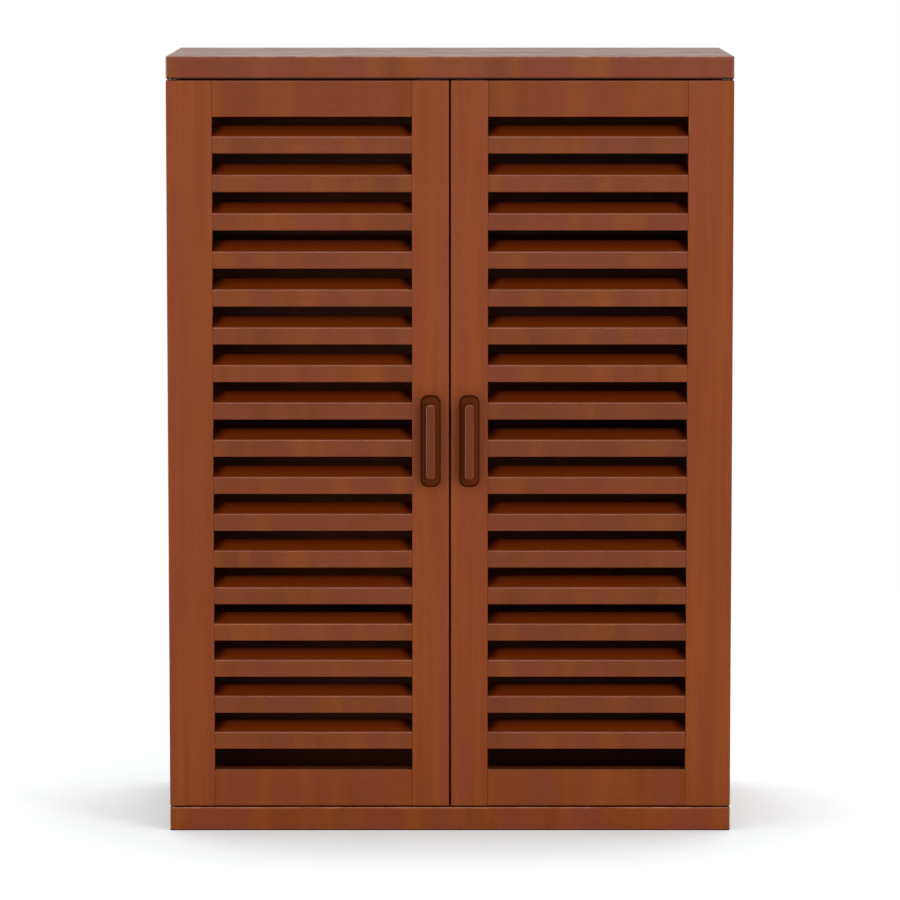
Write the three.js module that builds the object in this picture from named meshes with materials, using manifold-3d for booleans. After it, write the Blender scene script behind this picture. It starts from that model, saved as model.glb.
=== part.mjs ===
// Louvred door cabinet: a carcass of hardwood boards with two framed louvre doors that turn on pivot pins
// Millimetres, +Z up, origin in the middle of the base, doors facing -Y and +X to the right

import * as THREE from 'three';
import { mergeVertices } from 'three/addons/utils/BufferGeometryUtils.js';
import Module from 'manifold-3d';

const wasm = await Module();
wasm.setup();

// Overall size
const cabinetWidth = 800;
const cabinetDepth = 400;
const cabinetHeight = 1104;

// Carcass boards
const topBoardThickness = 31.5;
const bottomBoardThickness = 33.5;
const boardCornerRadius = 3;
const boardEase = 1.2;
const sideThickness = 18;
const sideEase = 1;
const sideTongueThickness = 6;
const sideTongueHeight = 7;
const sideTongueFrontSetback = 24;
const sideTongueBackSetback = 30;
const backThickness = 6;
const rabbetWidth = 8;

// Shelves and what carries them
const shelfCount = 3;
const shelfThickness = 18;
const shelfFrontSetback = 18;
const shelfBackGap = 1;
const shelfEndGap = 0.8;
const shelfEase = 2;
const supportInset = 46;
const supportReach = 9;
const supportWidth = 8;
const supportHeight = 12;
const supportPlateThickness = 1.8;
const supportHoleRadius = 2.5;
const supportHoleDepth = 10;
const supportHolePitch = 32;
const spareHolesEachWay = 2;

// Doors
const reveal = 2.5;
const doorGap = 3;
const doorThickness = 30;
const closingGap = 2;
const hingeStileWidth = 64;
const meetingStileWidth = 52;
const topRailHeight = 51;
const bottomRailHeight = 52;
const frameEase = 1.2;
const seamEase = 0.6;
const heelRadius = 3;
const railTenonLength = 30;
const railTenonThickness = 9;
const railTenonShoulder = 8;

// Louvre slats
const slatCount = 17;
const slatFaceHeight = 24.5;
const slatTilt = Math.PI / 4;
const topLouvreGap = 30;
const slatUpperEase = 1.8;
const slatLowerEase = 1;
const slatBackRadius = 3;
const slatBackSetback = 0.4;
const slatTenonLength = 8;
const slatTenonThickness = 8;
const slatTenonWidth = 20;

// Handles
const handleLength = 131;
const handleWidth = 28.5;
const handleCornerRadius = 11;
const handleProjection = 18;
const handleFootHeight = 2;
const gripLength = 106;
const gripWidth = 13;
const gripCornerRadius = 4;
const gripEdgeRadius = 1.6;
const gripBandHeight = 3;
const handleMiddleHeight = 560;
const handleScrewSpacing = 96;
const handleScrewRadius = 2.25;
const handleScrewSocketDepth = 12;
const flankHollowShare = 0.28;

// Pivot pins with their stops
const pivotInset = 10;
const pinRadius = 3;
const pinRunningClearance = 0.2;
const pinBoardDepth = 12;
const pinDoorDepth = 16;
const pinChamfer = 0.6;
const flangeRadius = 7;
const doorSwing = THREE.MathUtils.degToRad(110);
const lugInnerRadius = 4.1;
const lugOuterRadius = 6.3;
const lugHeight = 3;
const lugHalfAngle = THREE.MathUtils.degToRad(14);
const lugMiddleAngle = THREE.MathUtils.degToRad(-12);
const lugSlackAngle = THREE.MathUtils.degToRad(8);
const stopSlackAngle = THREE.MathUtils.degToRad(1);

// Magnetic catches and strike plates
const catchWidth = 40;
const catchDepth = 17;
const catchHeight = 15;
const catchEase = 1.5;
const poleWidth = 30;
const poleThickness = 1.5;
const poleSpacing = 5;
const poleProud = 0.8;
const strikeWidth = 36;
const strikeHeight = 9;
const strikeThickness = 1.2;
const strikeCornerRadius = 2.5;
const strikeScrewRadius = 2;
const catchToStrikeGap = 0.5;

// Fits
const seamGap = 0.3;
const glueLine = 0.1;
const jointClearance = 0.3;
const cutOverrun = 2;

// Facets
const arcSteps = 2;
const bullnoseSteps = 4;
const pinSides = 20;
const drillSides = 12;
const supportHoleSides = 8;
const handleCornerSteps = 5;
const flankSteps = 6;
const lugSteps = 2;
const pocketSteps = 8;

// Planes and lengths that follow from the sizes above
const frontPlane = -cabinetDepth / 2;
const backPlane = cabinetDepth / 2;
const outerX = cabinetWidth / 2;
const innerHeight = cabinetHeight - topBoardThickness - bottomBoardThickness;
const sideFrontPlane = frontPlane + doorThickness + closingGap;
const sideDepth = backPlane - sideFrontPlane;
const sideLength = innerHeight - 2 * glueLine;
const tongueFront = sideTongueFrontSetback;
const tongueBack = sideDepth - sideTongueBackSetback;
const tongueInnerX = (sideThickness - sideTongueThickness) / 2;
const innerHalfWidth = outerX - sideThickness;
const rabbetDepth = backThickness + glueLine;
const leafWidth = (cabinetWidth - doorGap) / 2;
const leafHeight = innerHeight - 2 * reveal;
const leafBottom = bottomBoardThickness + reveal;
const openingWidth = leafWidth - hingeStileWidth - meetingStileWidth;
const openingHeight = leafHeight - topRailHeight - bottomRailHeight;
const leafFront = -pivotInset;
const leafBack = doorThickness - pivotInset;
const leafOuter = -pivotInset;
const openingOuter = leafOuter + hingeStileWidth;
const openingInner = openingOuter + openingWidth;
const pivotX = -outerX + pivotInset;
const pivotY = frontPlane + pivotInset;
const slatThickness = slatFaceHeight * Math.cos(slatTilt);
const slatBackDepth = doorThickness - slatBackSetback;
const shelfPitch = (innerHeight + shelfThickness) / (shelfCount + 1);
const shelfFront = sideFrontPlane + shelfFrontSetback;
const shelfDepth = backPlane - rabbetDepth - shelfBackGap - shelfFront;
const quarterTurn = Math.PI / 2;

// Geometry with shared corners, and without the slivers that a pole or a seam leaves
function welded(geometry) {
  const bare = geometry.clone();
  bare.deleteAttribute('normal');
  bare.deleteAttribute('uv');
  const merged = mergeVertices(bare);
  const index = merged.index.array;
  const kept = [];
  for (let i = 0; i < index.length; i += 3) {
    const [a, b, c] = index.slice(i, i + 3);
    if (a !== b && b !== c && c !== a) kept.push(a, b, c);
  }
  merged.setIndex(kept);
  return merged;
}

// Closed solid that can be cut and joined
function solidOf(geometry) {
  const mesh = welded(geometry);
  return new wasm.Manifold(new wasm.Mesh({
    numProp: 3,
    vertProperties: new Float32Array(mesh.attributes.position.array),
    triVerts: new Uint32Array(mesh.index.array),
  }));
}

function geometryOf(solid) {
  const mesh = solid.getMesh();
  const geometry = new THREE.BufferGeometry();
  geometry.setAttribute('position', new THREE.BufferAttribute(mesh.vertProperties, 3));
  geometry.setIndex(new THREE.BufferAttribute(mesh.triVerts, 1));
  geometry.computeVertexNormals();
  return geometry;
}

// Box between two corners
function block(low, high) {
  const size = high.map((value, axis) => value - low[axis]);
  const box = new THREE.BoxGeometry(...size);
  box.translate(...low.map((value, axis) => value + size[axis] / 2));
  return box;
}

// Outline through corners given as [x, y, radius, steps], each corner rounded by its own radius
function rounded(corners) {
  const points = [];
  corners.forEach(([x, y, radius = 0, steps = arcSteps], i) => {
    const corner = new THREE.Vector2(x, y);
    if (radius === 0) {
      points.push(corner);
      return;
    }
    const [beforeX, beforeY] = corners[(i + corners.length - 1) % corners.length];
    const [afterX, afterY] = corners[(i + 1) % corners.length];
    const before = new THREE.Vector2(beforeX, beforeY).sub(corner).normalize();
    const after = new THREE.Vector2(afterX, afterY).sub(corner).normalize();
    const half = Math.acos(before.dot(after)) / 2;
    const middle = before.clone().add(after).normalize();
    const centre = corner.clone().addScaledVector(middle, radius / Math.sin(half));
    const start = corner.clone().addScaledVector(before, radius / Math.tan(half)).sub(centre).angle();
    const end = corner.clone().addScaledVector(after, radius / Math.tan(half)).sub(centre).angle();
    const sweep = Math.atan2(Math.sin(end - start), Math.cos(end - start));
    for (let step = 0; step <= steps; step += 1) {
      const angle = start + sweep * (step / steps);
      points.push(new THREE.Vector2(
        centre.x + radius * Math.cos(angle),
        centre.y + radius * Math.sin(angle),
      ));
    }
  });
  return new THREE.Shape(points);
}

function rectangle(x0, y0, x1, y1, radius = 0) {
  return [[x0, y0, radius], [x1, y0, radius], [x1, y1, radius], [x0, y1, radius]];
}

// Outline in X and Y, raised along Z
function upright(corners, height) {
  return new THREE.ExtrudeGeometry(rounded(corners), { depth: height, bevelEnabled: false });
}

// Outline in Y and Z, run along X
function crosswise(corners, length) {
  const geometry = upright(corners, length);
  const yAxis = new THREE.Vector3(0, 1, 0);
  const zAxis = new THREE.Vector3(0, 0, 1);
  const xAxis = new THREE.Vector3(1, 0, 0);
  return geometry.applyMatrix4(new THREE.Matrix4().makeBasis(yAxis, zAxis, xAxis));
}

// Outline in X and Y with its two ends eased, raised along Z
function easedUpright(corners, height, ease) {
  const geometry = new THREE.ExtrudeGeometry(rounded(corners), {
    depth: height - 2 * ease,
    bevelEnabled: true,
    bevelThickness: ease,
    bevelSize: ease,
    bevelOffset: -ease,
    bevelSegments: arcSteps,
  });
  return geometry.translate(0, 0, ease);
}

// Round bar or drill along Z, standing on z = 0
function roundBar(radius, length, sides) {
  const bar = new THREE.CylinderGeometry(radius, radius, length, sides);
  return bar.rotateX(quarterTurn).translate(0, 0, length / 2);
}

// Sector of a ring about the Z axis, standing on z = 0
function ringSector(inner, outer, from, to, height, steps) {
  const points = [];
  for (let step = 0; step <= steps; step += 1) {
    const angle = from + (to - from) * (step / steps);
    points.push(new THREE.Vector2(outer * Math.cos(angle), outer * Math.sin(angle)));
  }
  for (let step = steps; step >= 0; step -= 1) {
    const angle = from + (to - from) * (step / steps);
    points.push(new THREE.Vector2(inner * Math.cos(angle), inner * Math.sin(angle)));
  }
  return new THREE.ExtrudeGeometry(new THREE.Shape(points), { depth: height, bevelEnabled: false });
}

// Mirror image across the plane x = 0, with its faces still pointing out
function mirrored(geometry) {
  const image = welded(geometry);
  image.scale(-1, 1, 1);
  const index = Array.from(image.index.array);
  for (let i = 0; i < index.length; i += 3) {
    [index[i], index[i + 1]] = [index[i + 1], index[i]];
  }
  image.setIndex(index);
  image.computeVertexNormals();
  return image;
}

// Finishes, each call a material of its own
const tones = {
  topWood: 0x7e4632,
  bottomWood: 0x7a3c21,
  sideWood: 0x824529,
  stileWood: 0x87472c,
  railWood: 0x804530,
  slatWood: 0x82472d,
  shelfWood: 0x6f3c26,
  backWood: 0x6a3a26,
  handleWood: 0x6c3c2a,
};

function wood(tone) {
  return new THREE.MeshStandardMaterial({ color: tones[tone], roughness: 0.42, metalness: 0 });
}

function steel() {
  return new THREE.MeshStandardMaterial({ color: 0x4d463e, roughness: 0.4, metalness: 1 });
}

function plastic() {
  return new THREE.MeshStandardMaterial({ color: 0x4a2c1e, roughness: 0.5, metalness: 0 });
}

const left = { name: 'left', sign: 1 };
const right = { name: 'right', sign: -1 };

function add(group, name, geometry, material, place) {
  const mesh = new THREE.Mesh(geometry, material);
  mesh.name = name;
  mesh.position.set(...place);
  group.add(mesh);
}

// Adds a piece drawn for the left, or its mirror image for the right
function addHanded(group, side, name, geometry, material, [x, y, z]) {
  const shape = side === left ? geometry : mirrored(geometry);
  add(group, `${side.name}_${name}`, shape, material, [side.sign * x, y, z]);
}

// Full board of the carcass with eased arrises
function plainBoard(thickness) {
  const plan = rectangle(-outerX, frontPlane, outerX, backPlane, boardCornerRadius);
  return solidOf(easedUpright(plan, thickness, boardEase));
}

// Grooves, rabbet and pin holes for one carcass board, drawn downwards from its joint face at z = 0
function boardCuts() {
  const grooveDepth = sideTongueHeight + jointClearance;
  const cuts = [];
  for (const side of [left, right]) {
    const outer = -outerX + tongueInnerX - jointClearance;
    const inner = -outerX + tongueInnerX + sideTongueThickness + jointClearance;
    const xs = [side.sign * outer, side.sign * inner].sort((a, b) => a - b);
    const low = [xs[0], sideFrontPlane + tongueFront - jointClearance, -grooveDepth];
    const high = [xs[1], sideFrontPlane + tongueBack + jointClearance, cutOverrun];
    cuts.push(block(low, high));
    const drill = roundBar(pinRadius + pinRunningClearance, pinBoardDepth + cutOverrun, drillSides);
    cuts.push(drill.translate(side.sign * pivotX, pivotY, -pinBoardDepth - jointClearance));
  }
  const rabbetHalf = innerHalfWidth + rabbetWidth;
  const rabbetLow = [-rabbetHalf, backPlane - rabbetDepth, -rabbetWidth];
  cuts.push(block(rabbetLow, [rabbetHalf, backPlane + cutOverrun, cutOverrun]));
  return cuts;
}

function bottomBoard() {
  let board = plainBoard(bottomBoardThickness);
  for (const cut of boardCuts()) {
    board = board.subtract(solidOf(cut.translate(0, 0, bottomBoardThickness)));
  }
  return geometryOf(board);
}

function topBoard() {
  let board = plainBoard(topBoardThickness);
  for (const cut of boardCuts()) {
    board = board.subtract(solidOf(cut.rotateY(Math.PI)));
  }
  return geometryOf(board);
}

// Heights of the shelves' undersides above the bottom board
function shelfHeights() {
  return Array.from({ length: shelfCount }, (_, k) => shelfPitch * (k + 1) - shelfThickness);
}

// Depths of the two rows of supports, from the side panel's front edge
function supportDepths() {
  const front = shelfFrontSetback + supportInset;
  const back = shelfFrontSetback + shelfDepth - supportInset;
  return [front, back];
}

// Shelf support with a flat top, a back plate and a hollow gusset, its root in the panel
function shelfSupport() {
  const root = -supportHoleDepth / 2;
  const stem = supportPlateThickness;
  const section = [
    [root, -supportHeight / 2 - supportHoleRadius],
    [0, -supportHeight / 2 - supportHoleRadius],
    [0, -supportHeight],
    [stem, -supportHeight],
    [stem, -stem, stem],
    [supportReach, -stem],
    [supportReach, 0],
    [0, 0],
    [0, -supportHeight / 2 + supportHoleRadius],
    [root, -supportHeight / 2 + supportHoleRadius],
  ];
  const support = upright(section, supportWidth);
  return support.rotateX(quarterTurn).translate(0, supportWidth / 2, 0);
}

// Left side panel from its outer face, front edge and lower end, with its tongues, supports and hole rows
function sidePanel() {
  const plan = [
    [0, 0, sideEase],
    [sideThickness, 0, sideEase],
    [sideThickness, sideDepth - rabbetDepth],
    [sideThickness - rabbetWidth, sideDepth - rabbetDepth],
    [sideThickness - rabbetWidth, sideDepth],
    [0, sideDepth, sideEase],
  ];
  let panel = solidOf(upright(plan, sideLength));
  const tongueLow = [tongueInnerX, tongueFront, -sideTongueHeight];
  const tongueHigh = [tongueInnerX + sideTongueThickness, tongueBack, sideLength + sideTongueHeight];
  panel = panel.add(solidOf(block(tongueLow, tongueHigh)));
  for (const height of shelfHeights()) {
    const seat = height - glueLine - jointClearance;
    for (const depth of supportDepths()) {
      for (let step = -spareHolesEachWay; step <= spareHolesEachWay; step += 1) {
        const holeHeight = seat - supportHeight / 2 + step * supportHolePitch;
        const drill = roundBar(supportHoleRadius, supportHoleDepth + cutOverrun, supportHoleSides);
        drill.rotateY(quarterTurn).translate(sideThickness - supportHoleDepth, depth, holeHeight);
        if (step !== 0) panel = panel.subtract(solidOf(drill));
      }
      const support = shelfSupport().translate(sideThickness, depth, seat);
      panel = panel.add(solidOf(support));
    }
  }
  return geometryOf(panel);
}

function backPanel() {
  const halfWidth = innerHalfWidth + rabbetWidth - jointClearance;
  const height = innerHeight + 2 * (rabbetWidth - jointClearance);
  return block([-halfWidth, 0, 0], [halfWidth, backThickness, height]);
}

function shelf() {
  const section = [
    [0, 0, shelfEase],
    [shelfDepth, 0],
    [shelfDepth, shelfThickness],
    [0, shelfThickness, shelfEase],
  ];
  const length = 2 * (innerHalfWidth - shelfEndGap);
  return crosswise(section, length).translate(-length / 2, 0, 0);
}

// Magnetic catch, hanging from z = 0, its poles facing the door at y = 0
function magneticCatch() {
  const plan = rectangle(-catchWidth / 2, poleProud, catchWidth / 2, catchDepth, catchEase);
  let body = solidOf(upright(plan, catchHeight).translate(0, 0, -catchHeight));
  for (const turn of [-1, 1]) {
    const middle = -catchHeight / 2 + turn * poleSpacing / 2;
    const low = [-poleWidth / 2, 0, middle - poleThickness / 2];
    const high = [poleWidth / 2, poleProud + cutOverrun, middle + poleThickness / 2];
    body = body.add(solidOf(block(low, high)));
  }
  return geometryOf(body);
}

// Strike plate with its screw hole, lying on the door's back at y = 0
function strikePlate() {
  const halfWidth = strikeWidth / 2;
  const halfHeight = strikeHeight / 2;
  const outline = rectangle(-halfWidth, -halfHeight, halfWidth, halfHeight, strikeCornerRadius);
  const plate = solidOf(upright(outline, strikeThickness));
  const hole = roundBar(strikeScrewRadius, strikeThickness + 2 * cutOverrun, drillSides);
  const drilled = geometryOf(plate.subtract(solidOf(hole.translate(0, 0, -cutOverrun))));
  return drilled.rotateX(-quarterTurn);
}

// Pivot pin standing on the joint face of its board at z = 0, with a flange that keeps the reveal
function pivotPin() {
  const flangeTop = reveal - jointClearance;
  const profile = [
    [0, -pinBoardDepth],
    [pinRadius - pinChamfer, -pinBoardDepth],
    [pinRadius, -pinBoardDepth + pinChamfer],
    [pinRadius, glueLine],
    [flangeRadius, glueLine],
    [flangeRadius, flangeTop],
    [pinRadius, flangeTop],
    [pinRadius, reveal + pinDoorDepth - pinChamfer],
    [pinRadius - pinChamfer, reveal + pinDoorDepth],
    [0, reveal + pinDoorDepth],
  ];
  const points = profile.map(([radius, height]) => new THREE.Vector2(radius, height));
  return new THREE.LatheGeometry(points, pinSides).rotateX(quarterTurn);
}

// Lower pin of the left door, with the lug that stops the door at the end of its swing
function lowerPin() {
  const from = lugMiddleAngle - lugHalfAngle;
  const to = lugMiddleAngle + lugHalfAngle;
  const flangeTop = reveal - jointClearance;
  const height = jointClearance + lugHeight + flangeTop / 2;
  const lug = ringSector(lugInnerRadius, lugOuterRadius, from, to, height, lugSteps);
  lug.translate(0, 0, flangeTop / 2);
  return geometryOf(solidOf(pivotPin()).add(solidOf(lug)));
}

// Pocket for the lug in the lower end of the left hinge stile, about the pivot axis
function stopPocket() {
  const from = lugMiddleAngle - lugHalfAngle - lugSlackAngle;
  const to = lugMiddleAngle + lugHalfAngle + doorSwing + stopSlackAngle;
  const inner = lugInnerRadius - jointClearance;
  const outer = lugOuterRadius + jointClearance;
  const depth = lugHeight + jointClearance + cutOverrun;
  return ringSector(inner, outer, from, to, depth, pocketSteps).translate(0, 0, -cutOverrun);
}

// Heights of the slats' lower front edges in the door: the gaps close up evenly from the top one down
function slatHeights() {
  const gapCount = slatCount + 1;
  const meanGap = (openingHeight - slatCount * slatFaceHeight) / gapCount;
  const gapStep = 2 * (topLouvreGap - meanGap) / slatCount;
  const heights = [];
  let height = bottomRailHeight + openingHeight;
  for (let k = 0; k < slatCount; k += 1) {
    height -= topLouvreGap - k * gapStep + slatFaceHeight;
    heights.push(height);
  }
  return heights;
}

// Slanted bar along X that is a slat's tenon or, with a clearance, its mortise
function slatTenonBar(length, clearance) {
  const half = slatTenonThickness / 2 + clearance;
  const reach = slatTenonWidth / 2 + clearance;
  const bar = block([0, -reach, -half], [length, reach, half]);
  bar.rotateX(slatTilt);
  const middleDepth = doorThickness / 2;
  const middleHeight = slatFaceHeight / 2 + middleDepth * Math.tan(slatTilt);
  return bar.translate(0, middleDepth, middleHeight);
}

// Slat from its lower front edge: a flat front, a top that slopes up and back, and a square, eased back
function slat() {
  const along = new THREE.Vector2(Math.cos(slatTilt), Math.sin(slatTilt));
  const square = new THREE.Vector2(-along.y, along.x);
  const lowerBack = along.clone().multiplyScalar(slatBackDepth / along.x);
  const upperBack = lowerBack.clone().addScaledVector(square, slatThickness);
  const section = [
    [0, 0, slatLowerEase],
    [lowerBack.x, lowerBack.y, slatBackRadius, bullnoseSteps],
    [upperBack.x, upperBack.y, slatBackRadius, bullnoseSteps],
    [0, slatFaceHeight, slatUpperEase],
  ];
  const bodyLength = openingWidth - 2 * seamGap;
  const body = crosswise(section, bodyLength).translate(seamGap, 0, 0);
  const tenons = slatTenonBar(openingWidth + 2 * slatTenonLength, 0).translate(-slatTenonLength, 0, 0);
  return geometryOf(solidOf(body).add(solidOf(tenons)));
}

// Slanted mortises for every slat end, opening towards +X from the plane x = 0
function slatMortises() {
  const depth = slatTenonLength + jointClearance;
  return slatHeights().map((height) => {
    const mortise = slatTenonBar(depth + cutOverrun, jointClearance);
    return mortise.translate(-depth, leafFront, height);
  });
}

// Tenon of a rail, or its mortise, through the plane x = 0 and reaching away from it to -X
function railTenonBar(length, railHeight, clearance) {
  const half = railTenonThickness / 2 + clearance;
  const low = [-length, -half, railTenonShoulder - clearance];
  const high = [cutOverrun, half, railHeight - railTenonShoulder + clearance];
  return block(low, high).translate(0, leafFront + doorThickness / 2, 0);
}

// Mortises for the rails and slats in a stile whose inner edge is the plane x = 0
function stileCuts() {
  const depth = railTenonLength + jointClearance;
  const lower = railTenonBar(depth, bottomRailHeight, jointClearance);
  const upper = railTenonBar(depth, topRailHeight, jointClearance);
  upper.translate(0, 0, bottomRailHeight + openingHeight);
  return [lower, upper, ...slatMortises()];
}

// Hinge stile of the left door about its pivot axis
function hingeStile() {
  const plan = [
    [leafOuter, leafFront, frameEase],
    [openingOuter, leafFront, seamEase],
    [openingOuter, leafBack, seamEase],
    [leafOuter, leafBack, heelRadius, bullnoseSteps],
  ];
  let stile = solidOf(easedUpright(plan, leafHeight, seamEase));
  for (const cut of stileCuts()) {
    stile = stile.subtract(solidOf(cut.translate(openingOuter, 0, 0)));
  }
  const bore = roundBar(pinRadius + pinRunningClearance, pinDoorDepth + jointClearance + cutOverrun, pinSides);
  const lowerBore = bore.clone().translate(0, 0, -cutOverrun);
  const upperBore = bore.clone().translate(0, 0, leafHeight - pinDoorDepth - jointClearance);
  for (const cut of [lowerBore, upperBore, stopPocket()]) {
    stile = stile.subtract(solidOf(cut));
  }
  return geometryOf(stile);
}

// Meeting stile of the left door, drawn from the plane x = 0 of its inner edge, with its handle screw holes
function meetingStile() {
  const plan = [
    [0, leafFront, seamEase],
    [meetingStileWidth, leafFront, frameEase],
    [meetingStileWidth, leafBack, frameEase],
    [0, leafBack, seamEase],
  ];
  let stile = solidOf(easedUpright(plan, leafHeight, seamEase));
  for (const cut of stileCuts()) {
    stile = stile.subtract(solidOf(mirrored(cut)));
  }
  for (const turn of [-1, 1]) {
    const height = handleMiddleHeight - leafBottom + turn * handleScrewSpacing / 2;
    const drill = roundBar(handleScrewRadius, doorThickness + 2 * cutOverrun, drillSides);
    drill.rotateX(-quarterTurn).translate(meetingStileWidth / 2, leafFront - cutOverrun, height);
    stile = stile.subtract(solidOf(drill));
  }
  return geometryOf(stile);
}

// Rail between the stiles, from the hinge stile's inner edge, with a tenon at each end
function rail(height) {
  const section = rectangle(leafFront, 0, leafBack, height, frameEase);
  const bodyLength = openingWidth - 2 * seamGap;
  const body = crosswise(section, bodyLength).translate(seamGap, 0, 0);
  const outerTenon = railTenonBar(railTenonLength, height, 0);
  const innerTenon = mirrored(outerTenon).translate(openingWidth, 0, 0);
  return geometryOf(solidOf(body).add(solidOf(outerTenon)).add(solidOf(innerTenon)));
}

// Ring of a rounded rectangle in X and Z at a distance from the door, as 3-D points
function handleRing(width, length, radius, distance) {
  const outline = rectangle(-width / 2, -length / 2, width / 2, length / 2, radius);
  const shape = rounded(outline.map((corner) => [...corner, handleCornerSteps]));
  return shape.getPoints().slice(0, -1).map((point) => [point.x, -distance, point.y]);
}

// Closed skin over rings of equally many points, from the door outwards
function loft(rings) {
  const count = rings[0].length;
  const index = [];
  for (let level = 0; level + 1 < rings.length; level += 1) {
    for (let i = 0; i < count; i += 1) {
      const a = level * count + i;
      const b = level * count + (i + 1) % count;
      index.push(a, b, b + count, a, b + count, a + count);
    }
  }
  const last = (rings.length - 1) * count;
  for (let i = 1; i + 1 < count; i += 1) {
    index.push(0, i + 1, i);
    index.push(last, last + i, last + i + 1);
  }
  const geometry = new THREE.BufferGeometry();
  geometry.setAttribute('position', new THREE.Float32BufferAttribute(rings.flat(2), 3));
  geometry.setIndex(index);
  geometry.computeVertexNormals();
  return geometry;
}

// Handle: an oblong foot, flanks hollowed for the fingers, and a narrow grip with a rounded rim
function handle() {
  const between = (share) => [
    gripWidth + share * (handleWidth - gripWidth),
    gripLength + share * (handleLength - gripLength),
    gripCornerRadius + share * (handleCornerRadius - gripCornerRadius),
  ];
  const flankHeight = handleProjection - gripEdgeRadius - gripBandHeight - handleFootHeight;
  const rings = [handleRing(handleWidth, handleLength, handleCornerRadius, 0)];
  for (let step = 0; step <= flankSteps; step += 1) {
    const rise = step / flankSteps;
    const spread = 1 - rise - flankHollowShare * Math.sin(Math.PI * rise);
    rings.push(handleRing(...between(spread), handleFootHeight + rise * flankHeight));
  }
  for (let step = 0; step <= arcSteps; step += 1) {
    const angle = quarterTurn * (step / arcSteps);
    const inset = gripEdgeRadius * (1 - Math.cos(angle));
    const distance = handleProjection - gripEdgeRadius * (1 - Math.sin(angle));
    rings.push(handleRing(gripWidth - 2 * inset, gripLength - 2 * inset, gripCornerRadius - inset, distance));
  }
  let solid = solidOf(loft(rings));
  for (const turn of [-1, 1]) {
    const drill = roundBar(handleScrewRadius, handleScrewSocketDepth + cutOverrun, drillSides);
    drill.rotateX(quarterTurn).translate(0, cutOverrun, turn * handleScrewSpacing / 2);
    solid = solid.subtract(solidOf(drill));
  }
  return geometryOf(solid);
}

// One door about its pivot axis: frame, slats, handle and strike plate
function addDoor(cabinet, side) {
  const door = new THREE.Group();
  door.position.set(side.sign * pivotX, pivotY, leafBottom);
  addHanded(door, side, 'hinge_stile', hingeStile(), wood('stileWood'), [0, 0, 0]);
  addHanded(door, side, 'meeting_stile', meetingStile(), wood('stileWood'), [openingInner, 0, 0]);
  addHanded(door, side, 'bottom_rail', rail(bottomRailHeight), wood('railWood'), [openingOuter, 0, 0]);
  const topRailPlace = [openingOuter, 0, bottomRailHeight + openingHeight];
  addHanded(door, side, 'top_rail', rail(topRailHeight), wood('railWood'), topRailPlace);
  const slatShape = slat();
  slatHeights().forEach((height, k) => {
    const name = `slat_${String(k + 1).padStart(2, '0')}`;
    addHanded(door, side, name, slatShape, wood('slatWood'), [openingOuter, leafFront, height]);
  });
  const handleX = openingInner + meetingStileWidth / 2;
  const handlePlace = [handleX, leafFront - glueLine, handleMiddleHeight - leafBottom];
  addHanded(door, side, 'handle', handle(), wood('handleWood'), handlePlace);
  const strikeHeightInDoor = reveal + leafHeight - catchHeight / 2;
  const strikePlace = [handleX, leafBack + glueLine, strikeHeightInDoor];
  addHanded(door, side, 'strike_plate', strikePlate(), steel(), strikePlace);
  cabinet.add(door);
}

// Pins and catch of one door, fixed to the carcass boards
function addFittings(cabinet, side) {
  const topFace = bottomBoardThickness + innerHeight;
  addHanded(cabinet, side, 'lower_pivot_pin', lowerPin(), steel(), [pivotX, pivotY, bottomBoardThickness]);
  const upperPin = pivotPin().rotateX(Math.PI);
  addHanded(cabinet, side, 'upper_pivot_pin', upperPin, steel(), [pivotX, pivotY, topFace]);
  const catchX = pivotX + openingInner + meetingStileWidth / 2;
  const catchY = frontPlane + doorThickness + glueLine + strikeThickness + catchToStrikeGap;
  const catchPlace = [catchX, catchY, topFace - glueLine];
  addHanded(cabinet, side, 'magnet_catch', magneticCatch(), plastic(), catchPlace);
}

function addCarcass(cabinet) {
  add(cabinet, 'bottom_board', bottomBoard(), wood('bottomWood'), [0, 0, 0]);
  add(cabinet, 'top_board', topBoard(), wood('topWood'), [0, 0, bottomBoardThickness + innerHeight]);
  const sidePlace = [-outerX, sideFrontPlane, bottomBoardThickness + glueLine];
  for (const side of [left, right]) {
    addHanded(cabinet, side, 'side_panel', sidePanel(), wood('sideWood'), sidePlace);
  }
  const backPlace = [0, backPlane - backThickness, bottomBoardThickness - rabbetWidth + jointClearance];
  add(cabinet, 'back_panel', backPanel(), wood('backWood'), backPlace);
  shelfHeights().forEach((height, k) => {
    const name = `shelf_${k + 1}`;
    add(cabinet, name, shelf(), wood('shelfWood'), [0, shelfFront, bottomBoardThickness + height]);
  });
}

const cabinet = new THREE.Group();
addCarcass(cabinet);
for (const side of [left, right]) {
  addDoor(cabinet, side);
  addFittings(cabinet, side);
}

export default cabinet;
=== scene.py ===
"""Looks of a louvred door cabinet in reddish-brown hardwood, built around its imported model.

Lengths are in metres and angles in radians. The cabinet stands on z = 0 with its doors facing -Y. What comes
in pairs is drawn for the left half and mirrored for the right one.
"""

import logging
import math
import random
from collections.abc import Callable, Sequence
from dataclasses import dataclass
from enum import Enum

import bmesh
import bpy
from mathutils import Matrix, Vector


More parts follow.
